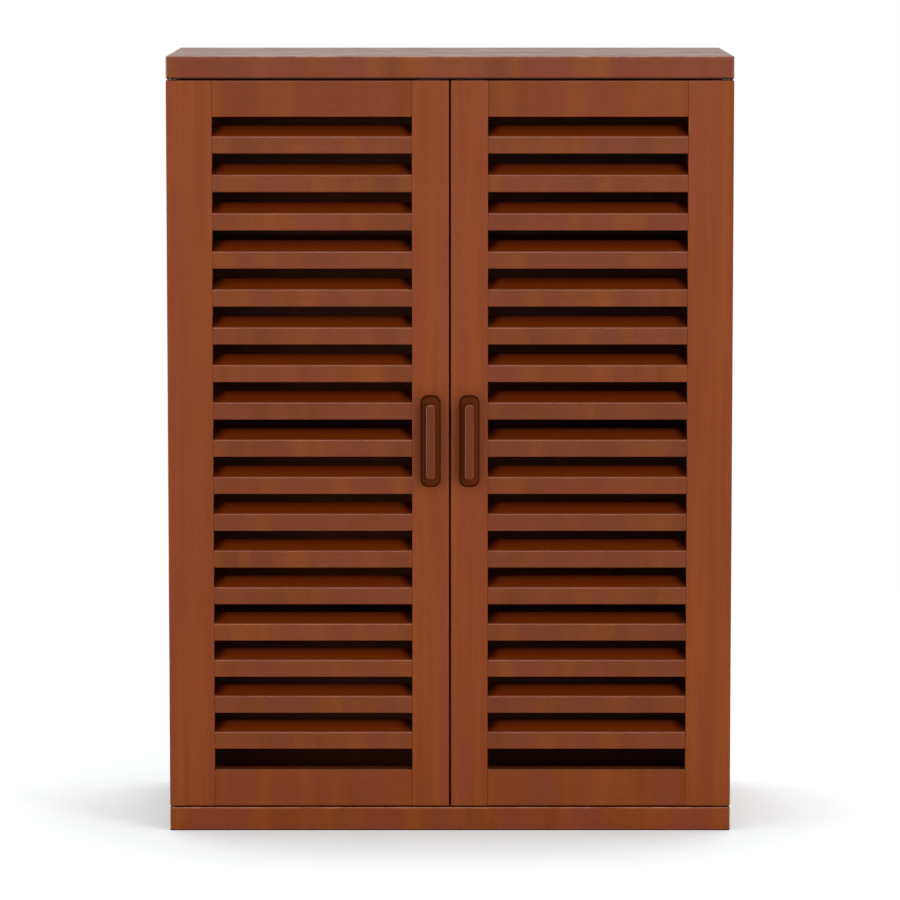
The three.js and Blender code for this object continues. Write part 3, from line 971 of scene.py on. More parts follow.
    def _dark_glaze(self) -> bpy.types.NodeTree:
        """Finds where shade is painted behind the front of a piece, and how dark it is.

        Depths count from the foremost point of the piece, and the corner's distances from its inner end.

        Returns:
            The group.
        """
        inputs = {"Covers At": 0.004, "Thick From": 0.005, "Thick To": 0.02, "Slopes Only": 0.0}
        inputs |= {"Hidden End": 0.0, "Corner Reach": 0.02, "Corner Depth": 0.0}
        tree, graph, given, asked = self._start("dark_glaze", inputs, ("Cover", "Thickness"))
        x, y, _ = graph.parts(graph.attribute("place"))
        half_length, half_depth, _ = graph.parts(graph.attribute("reach"))
        depth = graph.math("ADD", y, half_depth)
        end = graph.math("SUBTRACT", half_length, graph.math("ABSOLUTE", x))
        corner_end = graph.math("ADD", given["Hidden End"], given["Corner Reach"])
        corner = graph.rest(graph.ramp(end, given["Hidden End"], corner_end))
        laid = graph.math("MULTIPLY_ADD", corner, given["Corner Depth"], depth)
        graph.feed(asked["Thickness"], graph.ramp(laid, given["Thick From"], given["Thick To"]))
        wiped = graph.math("MULTIPLY", given["Slopes Only"], graph.rest(graph.lying(Lie.SLOPING_UP)))
        cover = graph.ramp(depth, 0.0, given["Covers At"])
        graph.feed(asked["Cover"], graph.math("MULTIPLY", cover, graph.rest(wiped)))
        return tree


@dataclass(frozen=True)
class RecessShade:
    """Painted shade behind the front of a piece, darker the deeper it lies and towards its ends.

    It lies on every face, or on those alone that look up.
    """

    # Colours of the painted shade: where it is shallow, and where it is deepest
    thin: Colour
    thick: Colour
    covers_at: float
    thick_from: float
    thick_to: float
    hidden_end: float = 0.0
    corner_reach: float = 0.02
    corner_depth: float = 0.0
    slopes_only: float = 0.0

    def lay(self, graph: Graph, groups: EffectGroups, colour: Socket) -> tuple[Socket, Socket]:
        """Lays the painted shade over a piece.

        Args:
            graph: Graph of the material.
            groups: The shared effects.
            colour: Colour of the bare figure.

        Returns:
            The shaded colour, and 0 to 1 where the painted shade covers.
        """
        levels = {name: value for name, value in vars(self).items() if name not in ("thin", "thick")}
        glaze = graph.put(groups.dark_glaze, **levels)
        shade_colour = graph.blend(glaze["Thickness"], self.thin, self.thick)
        return graph.blend(glaze["Cover"], colour, shade_colour), glaze["Cover"]


@dataclass(frozen=True)
class WoodFinish:
    """Stained hardwood under lacquer. Colours are linear."""

    name: str
    deep: Colour
    warm: Colour
    rosy: Colour
    # Colour of the lighter arris line, partly wear and partly a painted highlight
    worn: Colour
    gloss: float = 0.2
    lacquer: float = 0.0
    roughness: float = 0.36
    drift_share: float = 0.85
    streak_share: float = 0.16
    streak_light: float = 0.62
    pore_share: float = 0.35
    pore_light: float = 0.3
    wear_share: float = 0.35
    wear_width: float = 0.0016
    # Share of the painted shade round a handle
    patina_share: float = 0.0
    # Height of the painted contact shadow along a lower arris
    soil_height: float = 0.0
    soil_full_share: float = 0.4
    # Colour and share of the painted light on upward faces
    faded: Colour = (0.0, 0.0, 0.0)
    faded_share: float = 0.0
    relief: float = 0.00005
    ripple: float = 0.00012
    # Painted shade behind the front, where the finish has one
    glaze: RecessShade | None = None

    @property
    def shade(self) -> Colour:
        """Returns the colour of streaks, and of the painted shade round a handle."""
        return tuple(part * self.streak_light for part in self.deep)

    @property
    def pore(self) -> Colour:
        """Returns the colour of pores, and of the painted contact shadow along a lower arris."""
        return tuple(part * self.pore_light for part in self.deep)

    def material(self, groups: EffectGroups) -> bpy.types.Material:
        """Makes the finish's material.

        Args:
            groups: The shared effects.

        Returns:
            The material.
        """
        material, graph, shader = Graph.of_material(self.name)
        figure = graph.put(groups.wood_figure)
        colour = self._figured(graph, figure)
        shader.inputs["Coat Weight"].default_value = self.lacquer
        # Painted recess shade, with no coat where it lies
        if self.glaze:
            colour, cover = self.glaze.lay(graph, groups, colour)
            lacquer = graph.math("MULTIPLY_ADD", cover, -self.lacquer, self.lacquer)
            graph.feed(shader.inputs["Coat Weight"], lacquer)
        colour = self._aged(graph, groups, colour)
        toned = graph.node("ShaderNodeVectorMath", operation="SCALE")
        graph.feed(toned.inputs[0], colour)
        graph.feed(toned.inputs["Scale"], graph.attribute("tone", "Fac"))
        graph.feed(shader.inputs["Base Color"], toned.outputs["Vector"])
        film = graph.put(groups.surface_film, mean=self.roughness)
        graph.feed(shader.inputs["Roughness"], film["Roughness"])
        shader.inputs["Specular IOR Level"].default_value = self.gloss
        shader.inputs["Coat Roughness"].default_value = self.roughness
        waves = graph.bump(film["Ripple"], self.ripple)
        graph.feed(shader.inputs["Normal"], graph.bump(figure["Relief"], self.relief, waves))
        return material

    def _figured(self, graph: Graph, figure: bpy.types.NodeOutputs) -> Socket:
        """Colours the wood's figure.

        Args:
            graph: Graph of the material.
            figure: Masks of the figure.

        Returns:
            The colour of clean new wood.
        """
        colour = graph.blend(figure["Bands"], self.deep, self.warm)
        layers = (
            ("Drift", self.drift_share, self.rosy),
            ("Streaks", self.streak_share, self.shade),
            ("Pores", self.pore_share, self.pore),
        )
        for name, share, other in layers:
            colour = graph.blend(graph.math("MULTIPLY", figure[name], share), colour, other)
        return colour

    def _aged(self, graph: Graph, groups: EffectGroups, colour: Socket) -> Socket:
        """Adds painted shade round a handle, lighter arrises that are partly wear and partly a painted
        highlight, a painted contact shadow along the lower arris and painted light on upward faces.

        Args:
            graph: Graph of the material.
            groups: The shared effects.
            colour: Colour of the new piece.

        Returns:
            The colour with these marks.
        """
        marks = []
        # Painted shade round the handle
        if self.patina_share:
            marks.append((graph.put(groups.hand_patina)["Patina"], self.patina_share, self.shade))
        # Lighter arris line: partly wear, partly a painted highlight
        wear_highlight_mask = graph.put(groups.arris_wear, width=self.wear_width)["Wear"]
        marks.append((wear_highlight_mask, self.wear_share, self.worn))
        # Painted contact shadow along the lower arris
        if self.soil_height:
            marks.append((self._soiled(graph), 1.0, self.pore))
        # Painted light on upward faces
        if self.faded_share:
            marks.append((graph.lying(Lie.LEVEL), self.faded_share, self.faded))
        for mask, share, other in marks:
            colour = graph.blend(graph.math("MULTIPLY", mask, share), colour, other)
        return colour

    def _soiled(self, graph: Graph) -> Socket:
        """Finds the lower arris, where a contact shadow is painted.

        Args:
            graph: Graph of the material.

        Returns:
            0 to 1, where 1 is the darkest. The face below the arris stays unshaded.
        """
        height = graph.parts(graph.vector("ADD", graph.attribute("place"), graph.attribute("reach")))[2]
        unshaded = graph.ramp(height, self.soil_full_share * self.soil_height, self.soil_height)
        return graph.math("MULTIPLY", graph.rest(unshaded), graph.lying(Lie.NOT_UNDERNEATH))


@dataclass(frozen=True)
class FittingFinish:
    """Plated steel or moulded plastic with a fine texture. Colours are linear."""

    name: str
    plain: Colour
    rubbed: Colour
    roughness: float
    patch_size: float
    texture_size: float
    texture_depth: float
    metallic: float = 0.0

    def material(self, groups: EffectGroups) -> bpy.types.Material:
        """Makes the finish's material.

        Args:
            groups: The shared effects.

        Returns:
            The material.
        """
        material, graph, shader = Graph.of_material(self.name)
        film = graph.put(groups.surface_film, mean=self.roughness, patch_size=self.patch_size)
        graph.feed(shader.inputs["Base Color"], graph.blend(film["Ripple"], self.plain, self.rubbed))
        graph.feed(shader.inputs["Roughness"], film["Roughness"])
        shader.inputs["Metallic"].default_value = self.metallic
        place = graph.node("ShaderNodeTexCoord").outputs["Object"]
        grit = Cloud(scale=1 / self.texture_size, detail=2.0, roughness=0.5)
        texture = graph.bump(graph.noise(place, grit), self.texture_depth)
        graph.feed(shader.inputs["Normal"], texture)
        return material


class Finishes:
    """Every finish of the cabinet, under the names of its materials."""

    board = WoodFinish(
        "board_wood",
        deep=(0.177, 0.0345, 0.0050),
        warm=(0.260, 0.0580, 0.0036),
        rosy=(0.210, 0.0390, 0.0150),
        # Arris line: mostly a painted highlight, partly wear
        worn=(0.40, 0.170, 0.100),
        gloss=0.3,
        roughness=0.20,
        wear_share=0.65,
        wear_width=0.003,
        # Painted contact shadow along the lower arris
        soil_height=0.003,
        # Painted light on upward faces
        faded=(0.33, 0.050, 0.007),
        faded_share=0.75,
    )
    frame = WoodFinish(
        "frame_wood",
        deep=(0.225, 0.0430, 0.0064),
        warm=(0.324, 0.0730, 0.0050),
        rosy=(0.256, 0.0500, 0.0165),
        worn=(0.33, 0.090, 0.030),
        gloss=0.15,
        # Painted shade round the handle
        patina_share=0.5,
    )
    slat = WoodFinish(
        "slat_wood",
        deep=(0.182, 0.0370, 0.0064),
        warm=(0.259, 0.0585, 0.0052),
        rosy=(0.212, 0.0435, 0.0155),
        worn=(0.33, 0.090, 0.030),
        gloss=0.0,
        lacquer=0.42,
        # Painted shade on the slopes, deepening behind the front and towards the stiles
        glaze=RecessShade(
            thin=(0.145, 0.0215, 0.0027),
            thick=(0.017, 0.0023, 0.0003),
            covers_at=0.0022,
            thick_from=0.005,
            thick_to=0.0225,
            hidden_end=0.008,
            corner_reach=0.022,
            corner_depth=0.011,
            slopes_only=1.0,
        ),
    )
    inner = WoodFinish(
        "inner_wood",
        deep=(0.120, 0.0290, 0.0085),
        warm=(0.160, 0.0420, 0.0115),
        rosy=(0.135, 0.0320, 0.0120),
        worn=(0.20, 0.065, 0.026),
        gloss=0.12,
        roughness=0.5,
    )
    handle = WoodFinish(
        "handle_wood",
        deep=(0.128, 0.0280, 0.0054),
        warm=(0.174, 0.0390, 0.0054),
        rosy=(0.152, 0.0285, 0.0135),
        # Lighter rim: partly wear, partly a painted highlight
        worn=(0.27, 0.080, 0.040),
        gloss=0.0,
        lacquer=0.5,
        roughness=0.26,
        wear_share=0.55,
        relief=0.00003,
        # Painted shade: darker on the hollow flanks, darkest round the foot as a painted contact shadow
        glaze=RecessShade(
            thin=(0.088, 0.0190, 0.0048),
            thick=(0.031, 0.0052, 0.0011),
            covers_at=0.004,
            thick_from=0.0138,
            thick_to=0.0158,
        ),
    )
    steel = FittingFinish(
        "fitting_steel",
        plain=(0.052, 0.043, 0.034),
        rubbed=(0.085, 0.070, 0.055),
        roughness=0.3,
        patch_size=0.006,
        texture_size=0.0006,
        texture_depth=0.00001,
        metallic=1.0,
    )
    plastic = FittingFinish(
        "catch_plastic",
        plain=(0.069, 0.025, 0.013),
        rubbed=(0.085, 0.034, 0.019),
        roughness=0.5,
        patch_size=0.008,
        texture_size=0.0004,
        texture_depth=0.00003,
    )

    def __init__(self) -> None:
        """Makes one material for each finish."""
        groups = EffectGroups()
        kinds = (self.board, self.frame, self.slat, self.inner, self.handle, self.steel, self.plastic)
        self.materials = {kind.name: kind.material(groups) for kind in kinds}

    def __getitem__(self, slot: str) -> bpy.types.Material:
        """Returns the material of a slot."""
        return self.materials[slot]


@dataclass(frozen=True)
class Screw:
    """Screw with a cross recess, its head facing +Z and the head's seat at z = 0."""

    head_radius: float
    head_height: float
    shank_radius: float
    shank_length: float
    countersunk: bool = False
    recess_depth: float = 0.0014
    arm_share: float = 0.56
    arm_width: float = 0.0009
    tip_radius: float = 0.0004
    dome_share: float = 0.65
    dome_angles: tuple[float, ...] = (0.15, 0.5, 0.8, 1.1, 1.35)
    rim_share: float = 0.96
    rim_drop: float = 0.0002
    sink_spare: float = 0.00015
    sides: int = 28

    def shell(self) -> Shell:
        """Turns the screw, with its recess still to be cut.

        Returns:
            The closed skin.
        """
        radius, height, tip = self.head_radius, self.head_height, self.tip_radius
        if self.countersunk:
            head = [(tip, 0.0), (radius * self.rim_share, 0.0), (radius, -self.rim_drop)]
            head.append((self.shank_radius, -height))
        else:
            rise = height * self.dome_share
            domed = [(radius * math.sin(a), height - rise + rise * math.cos(a)) for a in self.dome_angles]
            head = [(tip, height), *domed, (radius, height - rise), (radius, 0.0), (self.shank_radius, 0.0)]
        shank = [(self.shank_radius, -self.shank_length), (tip, -self.shank_length - self.shank_radius)]
        return Shell.lathe([*head, *shank], self.sides)

    def recess(self) -> Shell:
        """Draws the cross that is cut into the head.

        Returns:
            The cutter.
        """
        top = 0.0 if self.countersunk else self.head_height
        outline = Outline.cross(self.head_radius * self.arm_share, self.arm_width / 2)
        return Shell.prism(outline, Axis.Z, top - self.recess_depth, top + CUT_OVERRUN)

    def sink(self) -> Shell:
        """Draws the hole that a countersunk head sits in.

        Returns:
            The cutter.
        """
        radius, shank = self.head_radius + self.sink_spare, self.shank_radius + self.sink_spare
        depth = self.head_height + self.sink_spare
        profile = [(radius, CUT_OVERRUN), (radius, 0.0), (shank, -depth), (shank, -depth - CUT_OVERRUN)]
        return Shell.lathe(profile, self.sides)

    def group(
        self, name: str, places: Sequence[Sequence[float]], direction: Sequence[float], side: Side = Side.LEFT
    ) -> Piece:
        """Makes several of these screws as one piece.

        Args:
            name: Name of the piece.
            places: Seat of each head.
            direction: Direction that the heads face.
            side: Half of the cabinet.

        Returns:
            The piece, with its recesses cut.
        """
        screws = Shell.together([self.shell().facing(direction).at(*place) for place in places])
        return Piece(name, screws, side).cut([self.recess().facing(direction).at(*place) for place in places])


@dataclass(frozen=True)
class Carcass:
    """Top and bottom boards, side panels, back panel, shelves and what holds them."""

    finishes: Finishes
    body: str = "carcass"
    board_corner: float = 0.003
    board_ease: float = 0.0012
    board_corner_steps: int = 6
    board_ease_steps: int = 4
    side_ease: float = 0.001
    side_thickness: float = 0.018
    tongue_thickness: float = 0.006
    tongue_height: float = 0.007
    tongue_front: float = 0.024
    tongue_back: float = 0.030
    rabbet_width: float = 0.008
    back_ease: float = 0.0004
    shelf_front_ease: float = 0.002
    shelf_back_ease: float = 0.0005
    support_inset: float = 0.046
    support_hole_radius: float = 0.0025
    support_hole_depth: float = 0.010
    support_hole_sides: int = 20
    support_pitch: float = 0.032
    spare_holes: int = 2
    support_height: float = 0.012
    support_reach: float = 0.009
    support_width: float = 0.008
    support_plate: float = 0.0018
    support_edge_share: float = 1 / 2.2
    support_ease: float = 0.0003
    support_gap: float = 0.0002
    support_steps: int = 5
    peg_length: float = 0.009
    peg_chamfer: float = 0.0008
    peg_tip_share: float = 0.7
    peg_root: float = 0.0010
    peg_sides: int = 24
    pin_hole_radius: float = 0.0032
    pin_hole_depth: float = 0.0123
    pin_hole_sides: int = 32
    back_screw: Screw = Screw(
        head_radius=0.0036,
        head_height=0.0024,
        shank_radius=0.0016,
        shank_length=0.014,
        countersunk=True,
    )
    back_screw_inset: float = 0.0045
    back_screws_across: int = 4
    back_screws_up: int = 5
    bottom_tone: float = 1.05
    top_tone: float = 0.96
    panel_tone: float = 1.05

    def build(self) -> None:
        """Builds every piece of the carcass."""
        self.board("bottom_board", 1, self.bottom_tone)
        self.board("top_board", -1, self.top_tone)
        for side in Side:
            self.side_panel(side)
            self.shelf_supports(side)
        self.back_panel()
        for node in self.shelf_nodes():
            self.shelf(node)

    @staticmethod
    def shelf_nodes() -> list[str]:
        """Returns the names of the shelves, the lowest first."""
        return sorted(name for name in frame["nodes"] if name.startswith("shelf_"))

    def board(self, node: str, facing: int, tone: float) -> None:
        """Builds a thick board with its grooves, rabbet and pin holes.

        Args:
            node: The board's name.
            facing: 1 where its joint face looks up, and -1 where it looks down.
            tone: Tone of its wood.
        """
        box = Box.of(node)
        plan = Outline.rectangle(box.low.xy, box.high.xy, self.board_corner, self.board_corner_steps)
        shell = Shell.prism(plan, Axis.Z, box.low.z, box.high.z, self.board_ease, self.board_ease_steps)
        face = box.high.z if facing > 0 else box.low.z
        beyond = face + facing * CUT_OVERRUN
        back = Box.of("back_panel")
        rabbet_end = face - facing * self.rabbet_width
        rabbet_low = (back.low.x - JOINT_CLEARANCE, back.low.y - GLUE_LINE, rabbet_end)
        rabbet_high = (back.high.x + JOINT_CLEARANCE, back.high.y + CUT_OVERRUN, beyond)
        cuts = [Shell.block(rabbet_low, rabbet_high)]
        panel = Box.of("left_side_panel")
        pin = Box.of("left_lower_pivot_pin").middle
        tongue = panel.low.x + (self.side_thickness - self.tongue_thickness) / 2
        for sign in (1, -1):
            near = sign * (tongue - JOINT_CLEARANCE)
            far = sign * (tongue + self.tongue_thickness + JOINT_CLEARANCE)
            front = panel.low.y + self.tongue_front - JOINT_CLEARANCE
            rear = panel.high.y - self.tongue_back + JOINT_CLEARANCE
            bottom = face - facing * (self.tongue_height + JOINT_CLEARANCE)
            cuts.append(Shell.block((near, front, bottom), (far, rear, beyond)))
            depths = sorted((face - facing * self.pin_hole_depth, beyond))
            bore = [(self.pin_hole_radius, depth) for depth in depths]
            cuts.append(Shell.lathe(bore, self.pin_hole_sides).at(sign * pin.x, pin.y, 0.0))
        piece = Piece(node, shell).cut(cuts)
        grain = Grain(Axis.X, Figure.RIPPLED, tone)
        piece.settle(self.body, "board_wood", self.finishes, [node], grain)

    def support_places(self, side: Side) -> list[tuple[float, float]]:
        """Finds where the shelves of one half rest.

        Args:
            side: Half of the cabinet; not used.

        Returns:
            Depth and seat height of each support.
        """
        places = []
        for node in self.shelf_nodes():
            shelf = Box.of(node)
            seat = shelf.low.z - GLUE_LINE - JOINT_CLEARANCE
            for depth in (shelf.low.y + self.support_inset, shelf.high.y - self.support_inset):
                places.append((depth, seat))
        return places

    def side_panel(self, side: Side) -> None:
        """Builds a side panel with its rabbet, tongues and rows of drilled holes.

        Args:
            side: Half of the cabinet.
        """
        box = side.box("side_panel")
        outer, inner = box.low.x, box.low.x + self.side_thickness
        notch = box.high.y - (Box.of("back_panel").size.y + GLUE_LINE)
        corners = (
            Corner(outer, box.low.y, self.side_ease),
            Corner(inner, box.low.y, self.side_ease),
            Corner(inner, notch),
            Corner(inner - self.rabbet_width, notch),
            Corner(inner - self.rabbet_width, box.high.y),
            Corner(outer, box.high.y, self.side_ease),
        )
        low, high = box.low.z + self.tongue_height, box.high.z - self.tongue_height
        shell = Shell.prism(Outline(corners), Axis.Z, low, high)
        tongue = outer + (self.side_thickness - self.tongue_thickness) / 2
        tongue_low = (tongue, box.low.y + self.tongue_front, box.low.z)
        tongue_high = (tongue + self.tongue_thickness, box.high.y - self.tongue_back, box.high.z)
        drills = []
        radius, depth = self.support_hole_radius, self.support_hole_depth
        drill = Shell.lathe([(radius, -depth), (radius, CUT_OVERRUN)], self.support_hole_sides).facing(INWARD)
        for place, seat in self.support_places(side):
            for step in range(-self.spare_holes, self.spare_holes + 1):
                height = seat - self.support_height / 2 + step * self.support_pitch
                drills.append(drill.at(inner, place, height))
        node = side.node("side_panel")
        piece = Piece(node, shell, side).join([Shell.block(tongue_low, tongue_high)]).cut(drills)
        grain = Grain(Axis.Z, Figure.STRAIGHT, self.panel_tone)
        piece.settle(self.body, "board_wood", self.finishes, [node], grain)

    def shelf_supports(self, side: Side) -> None:
        """Builds the steel supports of one half: a peg, a back plate and a flat seat each.

        Args:
            side: Half of the cabinet.
        """
        inner = side.box("side_panel").low.x + self.side_thickness
        plate, height, reach = self.support_plate, self.support_height, self.support_reach
        edge, ease, gap = plate * self.support_edge_share, self.support_ease, self.support_gap
        corners = (
            Corner(gap, -height, edge),
            Corner(plate, -height, edge),
            Corner(plate, -plate, plate),
            Corner(reach, -plate, edge),
            Corner(reach, 0.0, ease),
            Corner(gap, 0.0, ease),
        )
        half = self.support_width / 2
        angle = Shell.prism(Outline(corners, self.support_steps), Axis.Y, -half, half, ease)
        radius, shoulder = self.support_hole_radius - GLUE_LINE, self.peg_length - self.peg_chamfer
        tip = (radius * self.peg_tip_share, -self.peg_length)
        peg = Shell.lathe([tip, (radius, -shoulder), (radius, self.peg_root)], self.peg_sides)
        peg = peg.facing(INWARD).at(0.0, 0.0, -height / 2)
        shells = []
        for depth, seat in self.support_places(side):
            shells.extend((angle.at(inner, depth, seat), peg.at(inner, depth, seat)))
        piece = Piece(side.node("shelf_supports"), Shell.together(shells), side)
        piece.settle(self.body, "fitting_steel", self.finishes)

    def back_panel(self) -> None:
        """Builds the back panel with its countersunk screws round the rim."""
        box = Box.of("back_panel")
        low_corner, high_corner = (box.low.y, box.low.z), (box.high.y, box.high.z)
        outline = Outline.rectangle(low_corner, high_corner, self.back_ease, EASE_STEPS)
        shell = Shell.prism(outline, Axis.X, box.low.x, box.high.x, self.back_ease)
        inset = self.back_screw_inset
        left, right = box.low.x + inset, box.high.x - inset
        low, high = box.low.z + inset, box.high.z - inset
        columns, rows = self.back_screws_across, self.back_screws_up
        across = [left + (right - left) * i / columns for i in range(columns + 1)]
        up = [low + (high - low) * i / rows for i in range(1, rows)]
        spots = [(x, z) for z in (low, high) for x in across] + [(x, z) for x in (left, right) for z in up]
        places = [(x, box.high.y, z) for x, z in spots]
        sinks = [self.back_screw.sink().facing(REAR).at(*place) for place in places]
        piece = Piece("back_panel", shell).cut(sinks)
        grain = Grain(Axis.Z, Figure.PLAIN)
        piece.settle(self.body, "inner_wood", self.finishes, ["back_panel"], grain)
        flush = [(x, y - GLUE_LINE, z) for x, y, z in places]
        screws = self.back_screw.group("back_panel_screws", flush, REAR)
        screws.settle(self.body, "fitting_steel", self.finishes)

    def shelf(self, node: str) -> None:
        """Builds a shelf with a rounded front edge.

        Args:
            node: The shelf's name.
        """
        box = Box.of(node)
        radii = (self.shelf_front_ease, self.shelf_back_ease, self.shelf_back_ease, self.shelf_front_ease)
        outline = Outline.rectangle((box.low.y, box.low.z), (box.high.y, box.high.z), radii)
        shell = Shell.prism(outline, Axis.X, box.low.x, box.high.x, self.shelf_back_ease)
        grain = Grain(Axis.X, Figure.PLAIN)
        Piece(node, shell).settle(self.body, "inner_wood", self.finishes, [node], grain)


@dataclass(frozen=True)
class Handle:
    """Oblong pull with hollowed flanks and a narrow grip, drawn outwards from its foot."""

    foot_width: float = 0.0285
    foot_length: float = 0.131
    foot_corner: float = 0.011
    foot_height: float = 0.002
    foot_ease: float = 0.0004
    grip_width: float = 0.013
    grip_length: float = 0.106
    grip_corner: float = 0.004
    grip_band: float = 0.003
    grip_rim: float = 0.0016
    projection: float = 0.018
    hollow_share: float = 0.28
    flank_steps: int = 18
    rim_steps: int = 6
    corner_steps: int = 12
    foot_steps: int = 3
    socket_sides: int = 24
    socket_radius: float = 0.00225
    socket_depth: float = 0.012
    screw_spacing: float = 0.096

    def ring(self, spread: float, distance: float, inset: float = 0.0) -> list[Vector]:
        """Works out a ring between the grip's outline and the foot's.

        Args:
            spread: 0 for the grip's outline and 1 for the foot's.
            distance: Distance from the door.
            inset: Distance by which the ring is drawn in.

        Returns:
            The ring's points, with the handle's middle at x = z = 0 and the door at y = 0.
        """
        width = self.grip_width + spread * (self.foot_width - self.grip_width) - 2 * inset
        length = self.grip_length + spread * (self.foot_length - self.grip_length) - 2 * inset
        corner = self.grip_corner + spread * (self.foot_corner - self.grip_corner) - inset
        low, high = (-width / 2, -length / 2), (width / 2, length / 2)
        return Outline.rectangle(low, high, corner, self.corner_steps).ring(Axis.Y, -distance)

    def spread(self, rise: float) -> float:
        """Returns how far the flank has opened towards the foot, 0 to 1, at a share of its height."""
        return 1 - rise - self.hollow_share * math.sin(math.pi * rise)

    @property
    def flank(self) -> float:
        """Returns the height of the hollowed flanks."""
        return self.projection - self.grip_rim - self.grip_band - self.foot_height

    def squared(self, place: Vector, door: float) -> Callable[[Vector], Vector]:
        """Makes the function that sets a point on a straight bar, so that its arrises lie on the rim.

        Args:
            place: Middle of the handle.
            door: Depth of the door's face.

        Returns:
            The function that finds a point's place.
        """

        def place_on_bar(point: Vector) -> Vector:
            """Draws the flanks in to the grip.

            Args:
                point: Point of the handle.

            Returns:
                Its place on the bar.
            """
            rise = (door - point.y - self.foot_height) / self.flank
            spread = max(self.spread(min(max(rise, 0.0), 1.0)), 0.0)
            width = self.grip_width / (self.grip_width + spread * (self.foot_width - self.grip_width))
            length = self.grip_length / (self.grip_length + spread * (self.foot_length - self.grip_length))
            return Vector(((point.x - place.x) * width, point.y, (point.z - place.z) * length))

        return place_on_bar

    def shell(self) -> Shell:
        """Draws the handle, with its screw sockets still to be cut.

        Returns:
            The closed skin.
        """
        rings = []
        for step in range(self.foot_steps + 1):
            angle = math.pi / 2 * step / self.foot_steps
            inset = self.foot_ease * (1 - math.sin(angle))
            rings.append(self.ring(1.0, self.foot_ease * (1 - math.cos(angle)), inset))
        for step in range(self.flank_steps + 1):
            rise = step / self.flank_steps
            rings.append(self.ring(self.spread(rise), self.foot_height + rise * self.flank))
        for step in range(self.rim_steps + 1):
            angle = math.pi / 2 * step / self.rim_steps
            inset = self.grip_rim * (1 - math.cos(angle))
            rings.append(self.ring(0.0, self.projection - self.grip_rim * (1 - math.sin(angle)), inset))
        return Shell.loft(rings)

    def sockets(self) -> list[Shell]:
        """Draws the two blind holes for the handle's screws.

        Returns:
            The cutters.
        """
        ends = [(self.socket_radius, -CUT_OVERRUN), (self.socket_radius, self.socket_depth)]
        drill = Shell.lathe(ends, self.socket_sides).facing(FRONT)
        return [drill.at(0.0, 0.0, turn * self.screw_spacing / 2) for turn in (-1, 1)]


